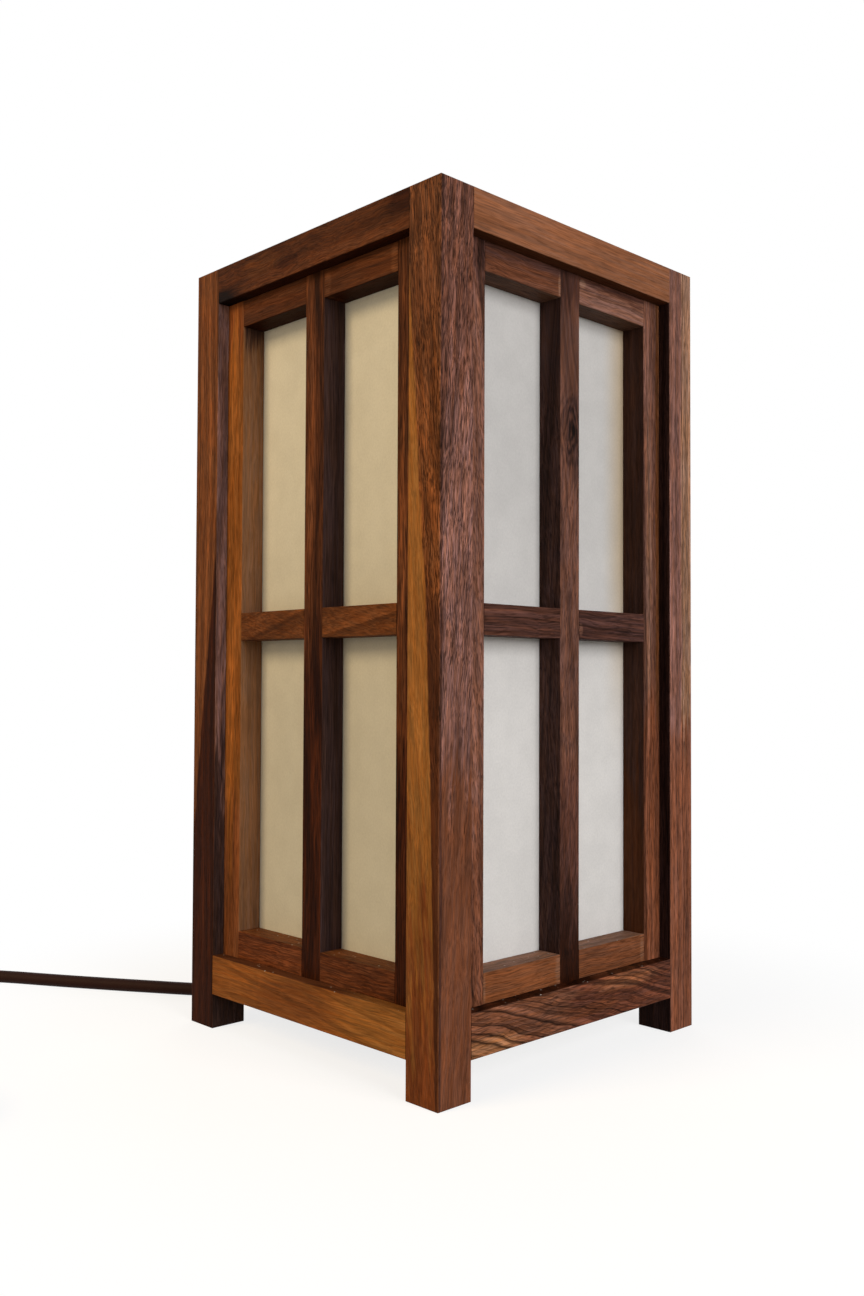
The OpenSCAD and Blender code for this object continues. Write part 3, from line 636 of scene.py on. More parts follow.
def walnut(name, grain, seed, tone=CHESTNUT, light=1.0, spread=0.38, pith=(45, 30), ring=9.0,
           tilt=(0.02, 0.01), wave=4.0, curl=0.6, contrast=0.22, slant=0.0, weave=0.8, fine=1.0,
           thin=1.0, short=1.0, fleck=0.5, veins=0.0, vein=3.0, calm=(), plain=None, dust=False,
           faces=(), zones=(), spots=()):
    """Walnut with its grain along an axis of a wooden node.

    light makes all of its tones lighter, and spread is how far its bands differ from them.
    pith is where the tree's middle lies from the piece's own, ring the width of a broad band and
    contrast how soft its edge. tilt is how the grain runs out, and wave and curl how far it sways.
    slant and weave lean and bend the fibres. fine is their contrast, thin how thin and short how
    short they are, and fleck how dark the pores. veins is how dark the thin growth lines are,
    and vein how far apart. Past the planes of calm the fibres fade, and on the side plain all of
    the figure does. dust lies on what faces up.
    faces are (direction, tone) for sides of another tone: on undersides the tone is painted shade,
    and on the ledges of the bottom rails and the sides of recesses it is partly painted shade and
    partly darker wood. zones are (direction, distance, softness, tone) with the tone past a plane,
    and after these the sides or further planes that bound it; a dark zone along the top of the
    lattice is painted shade under the top rail. spots are (middle, reach, strength, tone) with a
    tone round a point, and after these the number of a knot's rings."""
    draw = random.Random(seed)
    low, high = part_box(name)
    centre = [(a + b) / 2 * MM for a, b in zip(low, high)]
    others = [k for k in (X, Y, Z) if k != grain]
    tree = material_tree(name + "_walnut")
    here = tree.here()
    facing = tree.normal()
    own = tree.vector("SUBTRACT", here, centre)
    shifted = tree.vector("ADD", own, [draw.uniform(*ANY_SHIFT) for _ in range(3)])
    along = tree.split(own)[grain]

    def stretched(at, scales, across=1.0, lengthways=1.0):
        factors = [scales[0] * across] * 3
        factors[grain] = scales[1] * lengthways
        return tree.vector("MULTIPLY", at, factors)

    def crosswise(a, b):
        out = [0.0, 0.0, 0.0]
        out[others[0]], out[others[1]] = a, b
        return out

    def swayed(scales, reach, detail):
        noise = tree.noise(stretched(shifted, scales), detail=detail, colour=True)
        return tree.vector("MULTIPLY_ADD", noise, crosswise(2 * reach, 2 * reach), crosswise(-reach, -reach))

    # Bands and veins: rings about the tree's middle
    off = tree.vector("MULTIPLY_ADD", own, crosswise(1, 1), crosswise(-pith[0], -pith[1]))
    off = tree.vector("ADD", off, tree.vector("SCALE", crosswise(*tilt), scale=along))
    off = tree.vector("ADD", off, swayed(WAVES, wave, 1.0))
    off = tree.vector("ADD", off, swayed(RIPPLES, curl, 2.0))
    radius = tree.vector("LENGTH", off)
    bands = radius * (1 / ring) + draw.uniform(*ANY_PHASE)
    bands = tree.noise(bands, detail=4.0, rough=0.62, line=True)
    bands = tree.step(bands, 0.5 - contrast, 0.5 + contrast, 1 - spread, 1 + spread)
    if veins:
        lines = radius * (1 / vein) + draw.uniform(*ANY_PHASE)
        lines = tree.noise(lines, detail=2.0, rough=0.5, line=True)
        bands = bands * tree.step(lines, 0.54, 0.68, 1.0 + 0.1 * veins, 1.0 - 0.75 * veins)

    # Fibres, streaks and pores along the grain
    bent = tree.vector("ADD", shifted, tree.vector("SCALE", crosswise(slant, slant), scale=along))
    bent = tree.vector("ADD", bent, swayed(BENDS, weave * 1.6, 1.0))
    fibres = tree.noise(stretched(bent, FIBRES, thin, short), detail=3.0, rough=0.6)
    streaks = tree.noise(stretched(bent, STREAKS, 1.0, short), detail=3.0, rough=0.55)
    pores = tree.step(tree.noise(stretched(bent, PORES, thin, short), detail=1.0), 0.50, 0.66)
    clouds = tree.noise(stretched(shifted, CLOUDS))
    hues = tree.noise(stretched(bent, HUES, 1.0, short))
    fray = tree.noise(stretched(bent, FRAY), detail=3.0, rough=0.65) * 7.0 - 3.5

    def turned_to(direction):
        return tree.step(tree.vector("DOT_PRODUCT", facing, direction), 0.5, 0.9)

    def beyond(direction, distance, softness):
        past = tree.vector("DOT_PRODUCT", here, tuple(Vector(direction).normalized())) + fray * softness
        return tree.step(past, distance - softness, distance + softness)

    # Tones
    colour = tree.blend(0.0, tone, tone)
    for direction, distance, softness, other, *limits in zones:
        share = beyond(direction, distance, softness)
        for limit in limits:
            share = share * (beyond(*limit) if isinstance(limit[0], tuple) else turned_to(limit))
        colour = tree.blend(share, colour, other)
    for direction, other in faces:
        colour = tree.blend(turned_to(direction), colour, other)
    for middle, reach, strength, other, *rings in spots:
        away = tree.vector("MULTIPLY", tree.vector("SUBTRACT", here, middle), [1 / r for r in reach])
        away = tree.vector("LENGTH", away) + fray * 0.12
        share = tree.step(away, 0.35, 1.0, strength, 0.0)
        if rings:
            share = share * (tree.math("SINE", away * (6.28 * rings[0])) * 0.3 + 0.7)
        colour = tree.blend(share, colour, other)

    # Figure over the tones, and darker end grain
    end = tree.math("ABSOLUTE", tree.split(facing)[grain])
    end = tree.step(end, 0.6, 0.9)
    figure = 1.0
    for plane in calm:
        figure = (1.0 - beyond(*plane)) * figure
    if plain:
        figure = (1.0 - turned_to(plain) * 0.7) * figure
        bands = (bands - 1.0) * figure + 1.0
    fibre_share = figure * (0.6 * fine) + 0.4 * fine
    streak_share = figure * (0.5 * fine) + 0.5 * fine
    lightness = (tree.step(fibres, 0.30, 0.70, -0.42, 0.42) * fibre_share + 1.0) * light
    lightness = lightness * (tree.step(streaks, 0.32, 0.68, -0.2, 0.2) * streak_share + 1.0)
    lightness = lightness * ((0.12 - pores * 0.6) * (figure * fleck) + 1.0)
    lightness = lightness * tree.step(clouds, 0.3, 0.7, 0.9, 1.1) * bands * (1.0 - end * 0.4)
    colour = tree.shade(colour, lightness)
    hue = tree.blend(tree.step(hues, 0.35, 0.65), VIOLET, ORANGE)
    colour = tree.vector("MULTIPLY", colour, hue)
    if dust:
        specks = tree.step(tree.cells(here, 0.25), 0.08, 0.14, 0.6, 0.0)
        level = tree.step(tree.vector("DOT_PRODUCT", facing, UPWARD), 0.3, 0.6)
        colour = tree.blend(specks * level, colour, DUST)

    gloss = tree.step(fibres, 0.3, 0.7, 0.40, 0.50) + pores * 0.12 + end * 0.15
    relief = 0.7 + fibres * 0.3 - pores * 0.6
    return tree.finish(tree.principled(
        Base_Color=colour, Roughness=gloss, Specular_IOR_Level=0.02, Normal=tree.bump(relief, 0.05)))


def seen_looks():
    """The walnut of each wooden node that the photograph shows; the others draw theirs."""
    wedge = (0, 1, -0.075)
    upright = dict(ring=4, fleck=0.9, short=0.7, weave=0.3, thin=1.5, veins=0.4, vein=1.6)
    return {
        "front_left_post": dict(
            tone=PLUM, pith=(-60, 12), ring=5, spread=0.15, fleck=1.2, fine=1.9, thin=1.7, short=0.8,
            slant=-0.07, weave=0.5, tilt=(0.05, 0.09), wave=6,
            calm=((DOWNWARD, -150, 50), (wedge, -94.9, 1)),
            zones=((UPWARD, 290, 25, (0.116, 0.046, 0.029), FRONTWARD),
                   (DOWNWARD, -135, 15, (0.132, 0.046, 0.022), FRONTWARD),
                   (LEFTWARD, 87.0, 0.4, DAMSON, FRONTWARD),
                   (LEFTWARD, 80, 1, RUSSET, LEFTWARD),
                   (UPWARD, 305, 20, (0.106, 0.040, 0.018), LEFTWARD),
                   (wedge, -94.9, 0.8, AMBER, LEFTWARD),
                   (DOWNWARD, -60, 50, (0.141, 0.042, 0.014), LEFTWARD),
                   ((0, -1, 0.031), 87.1, 0.4, SEPIA, LEFTWARD, (DOWNWARD, -205, 25)))),
        "front_top_rail": dict(
            tone=CARAMEL, spread=0.14, pith=(20, 70), ring=8, fine=0.5, fleck=0.4, short=0.6, wave=2,
            # its underside is painted darker, as shade under the rail
            weave=0.3, faces=((DOWNWARD, MAHOGANY),)),
        "front_bottom_rail": dict(
            tone=(0.092, 0.030, 0.016), spread=0.5, pith=(20, -70), ring=1.9, contrast=0.13, fine=0.9,
            fleck=0.8, tilt=(0, 0.2), wave=13, curl=1.3, veins=0.7, vein=0.8, dust=True,
            # the top of the rail, a ledge in the recess, is partly darker wood and partly painted shade
            zones=((LEFTWARD, 5, 8, (0.126, 0.048, 0.025)),), faces=((UPWARD, UMBER),),
            spots=(((-62, -88, 18), (32, 30, 8), 0.7, SAND),
                   ((34, -88, 32), (34, 30, 5), 0.5, (0.22, 0.085, 0.036)),
                   ((10, -88, 23), (30, 30, 4), 0.6, MAHOGANY))),
        "front_right_post": dict(
            tone=PLUM, light=1.1, pith=(30, -50), ring=4, spread=0.3, fine=0.9, fleck=0.7, veins=0.6,
            # its side towards the front recess is partly darker wood and partly painted shade
            vein=1.8, faces=((LEFTWARD, EBONY),),
            zones=((UPWARD, 300, 20, (0.122, 0.055, 0.039)), (RIGHTWARD, 79.5, 0.7, TAN),
                   (DOWNWARD, -145, 14, (0.142, 0.050, 0.026)))),
        "left_top_rail": dict(
            tone=MAHOGANY, light=0.8, pith=(30, 40), ring=12, fine=0.9, thin=1.3, fleck=0.4, wave=9,
            # its underside is painted dark, as shade under the rail
            weave=1.6, faces=((DOWNWARD, UMBER),),
            spots=(((-88, -66, 371), (30, 16, 8), 0.8, UMBER), ((-88, 14, 364), (30, 12, 4), 0.6, UMBER),
                   ((-88, 34, 368), (30, 20, 8), 0.8, RUSSET), ((-88, 67, 358), (30, 24, 8), 1.0, BLACK))),
        "left_bottom_rail": dict(
            tone=HONEY, spread=0.2, pith=(-40, 60), ring=6, fine=0.6, thin=1.3, short=0.6, fleck=0.3,
            # the top of the rail, a ledge in the recess, is partly darker wood and partly painted shade
            tilt=(0.05, -0.12), veins=0.3, vein=4, wave=6, dust=True, faces=((UPWARD, MAHOGANY),),
            spots=(((-88, 8, 24), (30, 40, 16), 0.6, RUSSET), ((-88, -60, 26), (30, 42, 26), 0.9, AMBER))),
        "back_left_post": dict(
            tone=RUSSET, pith=(-30, 60), ring=4, spread=0.42, fine=0.8, fleck=0.4, veins=0.3, vein=2,
            zones=((UPWARD, -1, 1, MAUVE, FRONTWARD), (DOWNWARD, -160, 50, SLATE, FRONTWARD),
                   ((0, -1, -0.129), -99.1, 0.7, UMBER, LEFTWARD))),
        "left_left_stile": dict(
            tone=HONEY, spread=0.28, pith=(60, 20), ring=4, fine=0.8, fleck=0.6, short=0.7,
            plain=FRONTWARD,
            zones=((UPWARD, 335, 12, RUST), (DOWNWARD, -105, 30, CINNAMON),
                   # SLATE at the top of its side towards the recess is painted shade under the top rail
                   (UPWARD, -1, 1, TAUPE, FRONTWARD), (UPWARD, 338, 10, SLATE, FRONTWARD))),
        "left_muntin": dict(
            upright, tone=MAHOGANY, light=0.92, pith=(50, -20), fine=1.5, plain=FRONTWARD,
            # its side towards the front is partly darker wood and partly painted shade
            faces=((FRONTWARD, (0.054, 0.030, 0.027)),), zones=((DOWNWARD, -190, 25, UMBER),)),
        "left_right_stile": dict(
            upright, tone=MAHOGANY, light=1.25, pith=(50, 30), fine=1.6, fleck=1.1,
            zones=((DOWNWARD, -170, 50, UMBER),)),
        "front_left_stile": dict(
            tone=HEATHER, light=1.1, pith=(30, 50), ring=5, fine=1.0, fleck=0.9, short=1.2, slant=0.1,
            veins=0.8, vein=2.2,
            # DAMSON at its top is painted shade under the top rail
            zones=((UPWARD, 345, 8, DAMSON), (DOWNWARD, -110, 20, (0.105, 0.038, 0.020)))),
        "front_right_stile": dict(
            tone=HEATHER, light=0.86, pith=(-40, 40), ring=4, fine=0.9, fleck=0.7, veins=0.6, vein=1.6,
            plain=LEFTWARD,
            zones=((RIGHTWARD, 66, 0.6, RUSSET), (DOWNWARD, -160, 12, (0.148, 0.049, 0.023)),
                   # its side towards the recess is partly darker wood and partly painted shade
                   (UPWARD, -1, 1, (0.056, 0.025, 0.017), LEFTWARD),
                   (DOWNWARD, -120, 30, MAHOGANY, LEFTWARD)),
            spots=(((60.5, -82, 225), (3, 20, 105), 0.4, TAN),)),
        "front_muntin": dict(
            tone=HEATHER, light=0.74, pith=(25, 45), ring=6, fine=0.9, fleck=0.7, slant=-0.08,
            veins=0.4, vein=2, tilt=(0.06, 0.04), calm=((UPWARD, 305, 12),),
            # its side towards the recess is partly darker wood and partly painted shade
            faces=((LEFTWARD, (0.066, 0.032, 0.025)),),
            # DAMSON at its top is painted shade under the top rail
            zones=((UPWARD, 340, 8, DAMSON), (DOWNWARD, -130, 12, (0.112, 0.044, 0.029)),
                   (DOWNWARD, -80, 8, DAMSON), (DOWNWARD, -58, 10, UMBER)),
            spots=(((2, -82, 284), (12, 8, 27), 1.0, EBONY, 4),
                   ((2.6, -82, 285), (1.8, 8, 4.5), 1.0, BLACK))),
        "front_top_stick": dict(
            tone=(0.090, 0.032, 0.016), spread=0.2, pith=(30, 50), ring=3, fine=0.8, thin=1.2,
            # its underside has a tone of its own that paints in its shade
            fleck=0.6, short=0.6, faces=((DOWNWARD, (0.082, 0.040, 0.025)),),
            # DAMSON along the top of its front is painted shade under the top rail
            zones=((RIGHTWARD, 0, 2, ROSE), (UPWARD, 352.5, 2.2, DAMSON, FRONTWARD)),
            spots=(((-7.4, -82, 349), (1.2, 20, 7), 0.5, TAN), ((9, -82, 354), (3, 20, 3), 0.5, TAN))),
        "front_mid_stick": dict(
            tone=DAMSON, pith=(30, 50), ring=4, fine=0.9, fleck=0.8, short=0.6, veins=0.5, vein=1.6,
            zones=((RIGHTWARD, 6, 1, (0.055, 0.023, 0.017)),),
            spots=(((8, -82, 194), (1.8, 20, 4), 0.6, ROSE),)),
        "front_bottom_stick": dict(
            tone=CINNAMON, spread=0.14, pith=(30, 50), ring=5, fine=0.8, thin=1.3, fleck=0.7,
            short=0.6, dust=True, zones=((RIGHTWARD, 0, 1, CHESTNUT),), faces=((UPWARD, DRAB),),
            spots=(((-8, -82, 42), (2.6, 20, 9), 0.4, TAN), ((-56, -82, 42), (1.4, 20, 9), 0.4, TAN),
                   ((54.5, -82, 42), (2, 20, 9), 0.4, TAN))),
        "left_top_stick": dict(
            tone=MAHOGANY, spread=0.2, pith=(30, 50), ring=4, fine=0.8, thin=1.4, fleck=0.5, short=0.7,
            # its underside is painted dark, as shade
            faces=((DOWNWARD, UMBER),),
            spots=(((-82, -9, 350), (20, 3, 9), 0.3, CARAMEL), ((-82, -54, 350), (20, 3, 9), 0.3, CARAMEL))),
        "left_mid_stick": dict(
            tone=RUSSET, light=0.82, pith=(30, 50), ring=7, fine=0.7, fleck=0.4, slant=-0.15,
            tilt=(0, 0.2), veins=0.4),
        "left_bottom_stick": dict(
            tone=(0.078, 0.0245, 0.010), pith=(30, 50), ring=5, fine=1.2, thin=1.4, fleck=0.5,
            dust=True, zones=((BACKWARD, 0, 1, (0.097, 0.029, 0.011)),), faces=((UPWARD, RUSSET),)),
    }


def grain_of(name):
    """Posts and uprights have their grain along z, and the rest along their side of the lamp."""
    if name.endswith(("post", "stile", "muntin")):
        return Z
    return X if name.startswith(("front", "back", "crossbar")) else Y


def dress_wood():
    looks = seen_looks()
    tones = (CHESTNUT, PLUM, RUSSET, CARAMEL, HONEY)
    slots = {part["node"]: part["material_slot"] for part in frame["record"]["subparts"]}
    wooden = sorted(name for name, slot in slots.items() if slot.endswith("_wood"))
    for seed, name in enumerate(wooden):
        draw = random.Random(1000 + seed)
        drawn = dict(
            tone=draw.choice(tones), pith=(draw.uniform(-70, 70), draw.uniform(25, 70)),
            ring=draw.uniform(4, 9), fleck=draw.uniform(0.3, 0.8), spread=draw.uniform(0.25, 0.45))
        fit(nodes[name], walnut(name, grain_of(name), seed, **looks.get(name, drawn)))


dress_wood()


# Paper: each side's tone, the same paper painted lighter or darker for the light that side gets, and how
# light its upper half is beside its lower one, which is painted light and shade
PAPER_PAINTED_LIGHT = {
    "front": ((0.758, 0.742, 0.714), 0.8),
    "left": ((0.67, 0.66, 0.61), 1.12),
    "right": ((0.74, 0.73, 0.70), 0.9),
    "back": ((0.73, 0.72, 0.68), 0.9),
}
# The warm colour of light bounced off the wood, painted onto the paper
PAINTED_BOUNCE_COLOUR = (0.64, 0.51, 0.34)
LET_THROUGH = 0.3


def washi(name, tone, top):
    """Paper of long fibres that lets some light through. Near its upper right edge, warm light bounced off
    the wood is painted in.
    """
    tree = material_tree(name)
    here = tree.here()
    x, _, z = tree.split(here)
    clouds = tree.noise(here, scale=0.08, detail=3.0, rough=0.6)
    mottle = tree.noise(here, scale=0.9, detail=3.0, rough=0.7)
    fibres = tree.noise(tree.vector("MULTIPLY", here, (0.5, 0.5, 0.16)), scale=4.0, rough=0.7)
    lightness = tree.step(clouds, 0.3, 0.7, 0.965, 1.02) * tree.step(mottle, 0.3, 0.7, 0.965, 1.03)
    # painted light and shade: the upper half made lighter or darker by top
    lightness = lightness * tree.step(fibres, 0.3, 0.7, 0.975, 1.02) * tree.step(z, 120, 280, 1.0, top)
    # painted warm light bounced off the wood beside the right edge
    painted_bounce = tree.step(x, 38, 58) * tree.step(z, 120, 240)
    colour = tree.shade(tree.blend(painted_bounce, tone, PAINTED_BOUNCE_COLOUR), lightness)
    surface = tree.principled(
        Base_Color=colour, Roughness=0.9, Specular_IOR_Level=0.2,
        Normal=tree.bump(mottle * 0.5 + fibres * 0.5, 0.05))
    glow = tree.nodes.new("ShaderNodeBsdfTranslucent")
    tree.feed(glow.inputs["Color"], colour)
    return tree.finish(tree.mixed(LET_THROUGH, surface, Num(tree, glow.outputs[0])))


for side, (tone, top) in PAPER_PAINTED_LIGHT.items():
    fit(nodes[side + "_paper"], washi(side + "_paper", tone, top))


# Plastics, metals and ceramic
BROWN = (0.030, 0.017, 0.011)
PARTING_Z = 9.0
switch_brown = plastic("switch_shell", BROWN, 0.42, 0.05, seam=PARTING_Z, shine=0.25)
plug_brown = plastic("plug_shell", BROWN, 0.42, 0.05, seam=PARTING_Z, shine=0.25)
rocker_brown = plastic("rocker", (0.020, 0.013, 0.010), 0.28, 0.01, shine=0.3)
grip_black = plastic("grip", (0.022, 0.018, 0.016), 0.5, 0.05)
sleeve_black = plastic("sleeve", (0.018, 0.014, 0.012), 0.6, 0.03)
wire_black = plastic("wire", (0.02, 0.02, 0.02), 0.4, 0.01)
mark_white = plastic("mark", (0.50, 0.48, 0.44), 0.5, 0.01)
bulb_white = plastic("bulb_housing", (0.78, 0.77, 0.74), 0.4, 0.01, cloud=0.02)
globe_white = plastic("bulb_globe", (0.86, 0.85, 0.82), 0.35, 0.003, cloud=0.01)
insulator_black = plastic("bulb_insulator", (0.01, 0.01, 0.012), 0.15, 0.01)
porcelain = plastic("porcelain", (0.78, 0.76, 0.70), 0.16, 0.02)
brass = metal("brass", (0.80, 0.58, 0.28))
nickel = metal("nickel", (0.74, 0.73, 0.70), 0.24, (0.5, 0.5, 8.0))
zinc = metal("zinc", (0.60, 0.60, 0.58), 0.32)

for name, material in {
    "holder_body": porcelain,
    "holder_shell": brass,
    "holder_contact": brass,
    "holder_leads": wire_black,
    "bulb_cap": nickel,
    "bulb_contact": insulator_black,
    "bulb_housing": bulb_white,
    "bulb_globe": globe_white,
    "wood_screws": zinc,
    "cord_grip": grip_black,
    "cord_sleeve": sleeve_black,
    "switch_base": switch_brown,
    "switch_cover": switch_brown,
    "switch_rocker": rocker_brown,
    "plug_body": plug_brown,
    "plug_blades": brass,
}.items():
    fit(nodes[name], material)


# Lampholder shell, bulb cap and screws, in millimetres
THREAD_PITCH = 3.63
PROFILE_STEP = 0.3
CAP_R = 13.1
CAP_SLOPE = 2
CAP_CORE_R = 0.4
CAP_THREAD = 0.75
SHELL_R = 13.88
SHELL_BORE_R = 13.72
SHELL_HOLE_R = 7
SHELL_FLOOR = 0.5
SHELL_THREAD = 0.28
# Where each screw's head sits, the way it points and how far it is turned
SCREW_SEATS = (
    ((0, -23, 41.6), UPWARD, -0.2), ((0, 23, 41.6), UPWARD, 1.2),
    ((-32.5, 5, 19.9), DOWNWARD, -0.2), ((-7.5, 5, 19.9), DOWNWARD, 1.2))
SCREW_SHANK = [(0.2, -12), (0.7, -11), (1.75, -9.2), (1.75, 0)]
SCREW_HEAD = [
    (3.2, 0), (3.3, 0.15), (3.3, 0.7), (3.05, 1.3), (2.5, 1.8), (1.7, 2.1), (0.9, 2.2), (0.2, 2.2)]
SCREW_PITCH = 1.5
SCREW_THREAD = 0.5
SLOT_Z = 2.1
SLOT_SIZE = (3.4, 0.75, 2.0)


def make_bulb_cap():
    low, high = [corner[Z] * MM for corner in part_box("bulb_cap")]
    tall = high - low
    profile = dense([
        (CAP_CORE_R, 0), (CAP_R - CAP_SLOPE, 0), (CAP_R, CAP_SLOPE), (CAP_R, tall), (CAP_CORE_R, tall)],
        PROFILE_STEP)
    swell = thread(1.5, tall - 2, THREAD_PITCH, CAP_THREAD)
    cap = turned("screw_cap", profile, place((0, 0, low)), swell=swell)
    settled(smooth_by_angle(cap, 50), "bulb", "bulb_cap_metal", nickel, "bulb_cap")


def make_shell():
    low, high = [corner[Z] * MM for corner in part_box("holder_shell")]
    tall = high - low
    around = [
        (SHELL_HOLE_R, 0), (SHELL_R, 0), (SHELL_R, tall), (SHELL_BORE_R, tall),
        (SHELL_BORE_R, SHELL_FLOOR), (SHELL_HOLE_R, SHELL_FLOOR), (SHELL_HOLE_R, 0)]
    swell = thread(2.5, tall - 1.5, THREAD_PITCH, SHELL_THREAD)
    profile = dense(around, PROFILE_STEP)[:-1]
    shell = turned("screw_shell", profile, place((0, 0, low)), swell=swell, closed=True)
    settled(smooth_by_angle(shell, 50), "lamp", "contact_brass", brass, "holder_shell")


def make_screws():
    """Pan-headed wood screws with crossed slots: two in the flange and two in the cord grip."""
    screws = []
    for at, ahead, turn in SCREW_SEATS:
        where = place(at, ahead, turn)
        profile = dense(SCREW_SHANK, 0.35) + SCREW_HEAD
        screw = turned("screw", profile, where, 48, thread(-11.5, -1.2, SCREW_PITCH, SCREW_THREAD))
        for across in (0, math.pi / 2):
            slot = where @ Matrix.Translation((0, 0, SLOT_Z)) @ Matrix.Rotation(across, 4, "Z")
            carved(screw, block("slot", slot, SLOT_SIZE))
        screws.append(screw)
    screws = smooth_by_angle(joined("crosshead_screws", screws), 35)
    settled(screws, "lamp", "screw_steel", zinc, "wood_screws")


make_bulb_cap()
make_shell()
make_screws()


# Strain relief: a tapered sleeve with slots cut by turns from its sides and its top
SLEEVE_AT = (-20, 18, 17.45)
SLEEVE_L = 24
SLEEVE_CORE_R = 0.3
SLEEVE_ROOT = [(SLEEVE_CORE_R, -4), (3.95, -4), (3.95, 0), (4.8, 0), (5.0, 0.25)]
SLEEVE_END = [(4.0, 23.4), (3.75, 23.9), (3.5, SLEEVE_L), (SLEEVE_CORE_R, SLEEVE_L)]
SLEEVE_R = 5.0
SLEEVE_TAPER = 1.0 / 20.5
TAPER_FROM = 2.5
SLOTS_AT = [3.8 + 2.7 * k for k in range(7)]
SLOT_EDGES = (-0.64, -0.6, 0.6, 0.64)
SLOT_REACH = 0.62
SLOT_DEPTH = 0.55


def make_sleeve():
    def swell(angle, height):
        for k, at in enumerate(SLOTS_AT):
            if abs(height - at) < SLOT_REACH:
                side = abs(math.cos(angle)) if k % 2 else abs(math.sin(angle))
                return -SLOT_DEPTH * ease((side - 0.3) / 0.25)
        return 0

    heights = [at + edge for at in SLOTS_AT for edge in SLOT_EDGES]
    taper = [(SLEEVE_R - SLEEVE_TAPER * max(0, height - TAPER_FROM), height) for height in heights]
    profile = SLEEVE_ROOT + taper + SLEEVE_END
    sleeve = turned("strain_relief", profile, place(SLEEVE_AT, BACKWARD), swell=swell)
    settled(smooth_by_angle(sleeve, 35), "lamp", "sleeve_rubber", sleeve_black, "cord_sleeve")


make_sleeve()


# Marks on the rocker and ribs on the plug
ROCKER_PIVOT = SWITCH_AT + Vector((0, 0, 0.0185))
ROCKER_REST = math.radians(-8)
ROCKER_SLOPE = math.atan2(1.366, 9.3)
ROCKER_DIP_Z = 2.234
MARK_OUT = 4.7
BAR_SIZE = (3.2, 0.55, 0.3)
RING_R = 1.5
RIB_COUNT = 5
RIB_FIRST = 2.2
RIB_APART = 2.4
NECK_R = 4.5
NECK_FLARE = 0.18


def make_marks():
    """A raised bar and ring on the halves of the rocker."""
    ahead, left = switch_axes()
    turn = Matrix((ahead, left, UPWARD)).transposed().to_4x4()
    rest = Matrix.Rotation(ROCKER_REST, 4, "Y")
    pivot = Matrix.Translation(ROCKER_PIVOT) @ turn @ rest @ Matrix.Scale(1 / MM, 4)

    def on_half(side):
        rise = ROCKER_DIP_Z + MARK_OUT * math.tan(ROCKER_SLOPE)
        seat = Matrix.Translation((side * MARK_OUT, 0, rise))
        return pivot @ seat @ Matrix.Rotation(-side * ROCKER_SLOPE, 4, "Y")

    bar = rounded(block("bar", on_half(1), BAR_SIZE), 0.0001, 2)
    ring = turned("ring", oval((RING_R, 0), 0.28, 0.16), on_half(-1), 48, closed=True)
    marks = smooth_by_angle(joined("rocker_marks", [bar, ring]), 40)
    settled(marks, "rocker", "rocker_plastic", mark_white)


def make_plug_ribs():
    """Rings moulded round the neck of the plug."""
    low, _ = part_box("plug_body")
    _, coil_middle = coil_path()
    where = place(((coil_middle.x + COIL_R) * MM, low[Y] * MM, PLUG_Z * MM), BACKWARD)
    ribs = []
    for k in range(RIB_COUNT):
        at = RIB_FIRST + RIB_APART * k
        rib = oval((NECK_R + NECK_FLARE * at, at), 0.45, 0.6)
        ribs.append(turned("rib", rib, where, 64, closed=True))
    ribs = smooth_by_angle(joined("plug_ribs", ribs), 60)
    settled(ribs, "lamp", "plug_plastic", plug_brown)


make_marks()
make_plug_ribs()


# Stage and light
FLOOR_R = 4.0
FLOOR_TONE = (0.26, 0.26, 0.255)
FLOOR_GLOW = 0.78
# The shadow fades out between these distances from the middle, in millimetres
FLOOR_FADE = (125, 330)
WORLD_LIGHT = 0.18
MIDDLE = Vector((0, 0, 0.18))
WARM = (1.0, 0.74, 0.40)
NEUTRAL = (0.965, 0.955, 0.97)
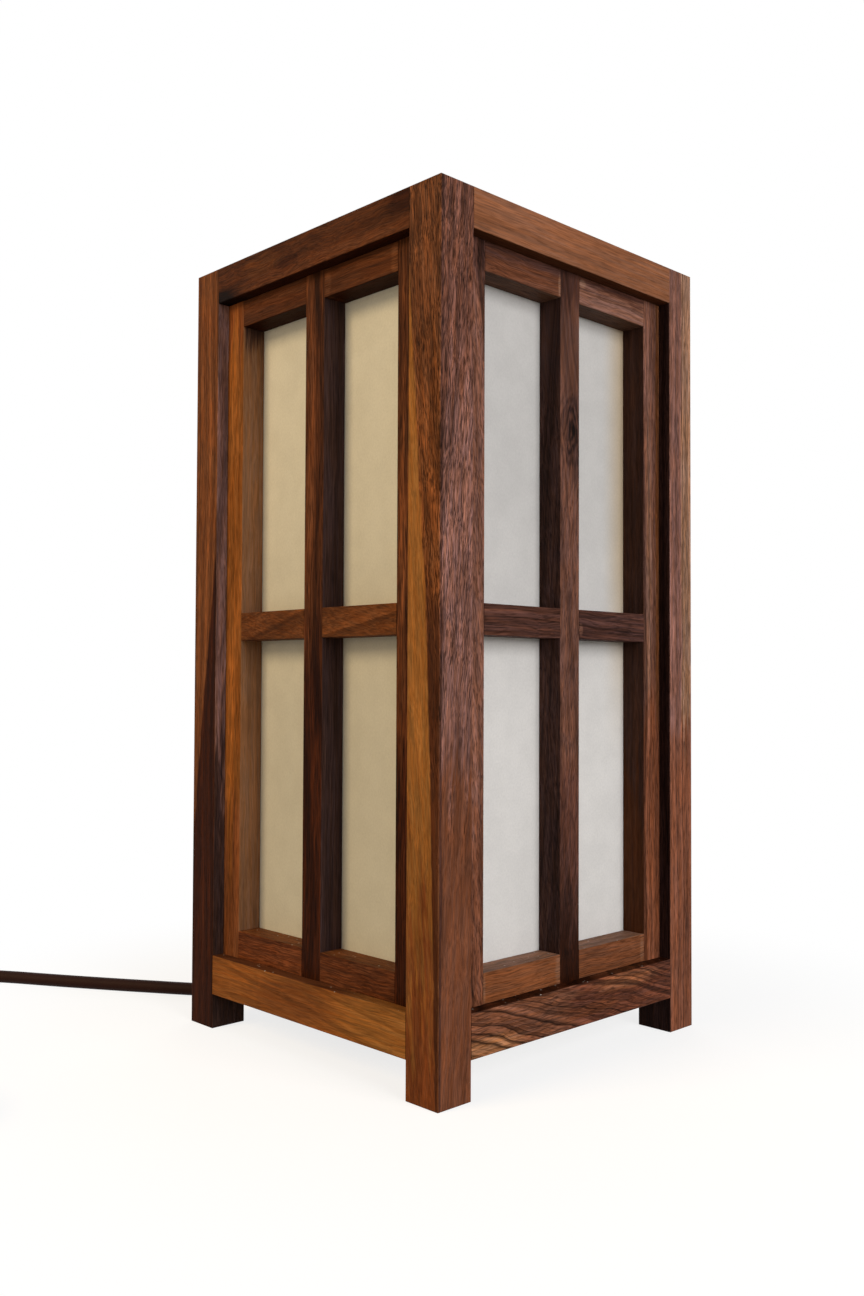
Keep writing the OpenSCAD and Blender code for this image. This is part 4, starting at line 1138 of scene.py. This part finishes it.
# Each softbox's place, size, power and colour. The photograph's left side stands in warm light.
SOFTBOXES = {
    "left_softbox": ((-1.75, 0.35, 1.3), (0.9, 0.8), 27.5, WARM),
    "left_fill": ((-2.0, 0.2, 0.4), (1.4, 0.7), 8, WARM),
    "front_softbox": ((-0.1, -1.85, 0.85), (1.2, 1.1), 30.5, NEUTRAL),
    "front_fill": ((-0.05, -2.0, 0.35), (1.4, 0.6), 9, NEUTRAL),
    "back_fill": ((1.5, 1.3, 0.7), (1.6, 1.2), 16, NEUTRAL),
}


def make_floor():
    """A white floor that keeps the object's shadow."""
    ring = [(x, y, 0) for x, y in oval((0, 0), FLOOR_R, FLOOR_R, 64)]
    floor = add_mesh("floor", ring, [tuple(range(len(ring)))], smooth=False)
    tree = material_tree("floor")
    seen = tree.seen()
    near = tree.principled(
        Base_Color=FLOOR_TONE, Roughness=0.9, Specular_IOR_Level=0.0,
        Emission_Color=(1, 1, 1), Emission_Strength=seen * FLOOR_GLOW)
    far = tree.nodes.new("ShaderNodeEmission")
    away = tree.step(tree.vector("LENGTH", tree.here()), *FLOOR_FADE) * seen
    floor.data.materials.append(tree.finish(tree.mixed(away, near, Num(tree, far.outputs[0]))))


def make_world():
    world = bpy.data.worlds.new("world")
    bpy.context.scene.world = world
    tree = Tree(world)
    background = tree.nodes.new("ShaderNodeBackground")
    tree.feed(background.inputs["Color"], (1.0, 1.0, 1.0, 1.0))
    tree.feed(background.inputs["Strength"], tree.seen() * (1 - WORLD_LIGHT) + WORLD_LIGHT)
    tree.finish(Num(tree, background.outputs[0]), "World")


def add_softbox(name, at, size, power, colour):
    data = bpy.data.lights.new(name, "AREA")
    data.shape = "RECTANGLE"
    data.size, data.size_y = size
    data.energy = power
    data.color = colour
    lamp = bpy.data.objects.new(name, data)
    lamp.location = at
    lamp.rotation_euler = (MIDDLE - Vector(at)).to_track_quat("-Z", "Y").to_euler()
    bpy.context.collection.objects.link(lamp)


make_floor()
make_world()
for name, softbox in SOFTBOXES.items():
    add_softbox(name, *softbox)
bpy.context.scene.view_settings.view_transform = "Standard"
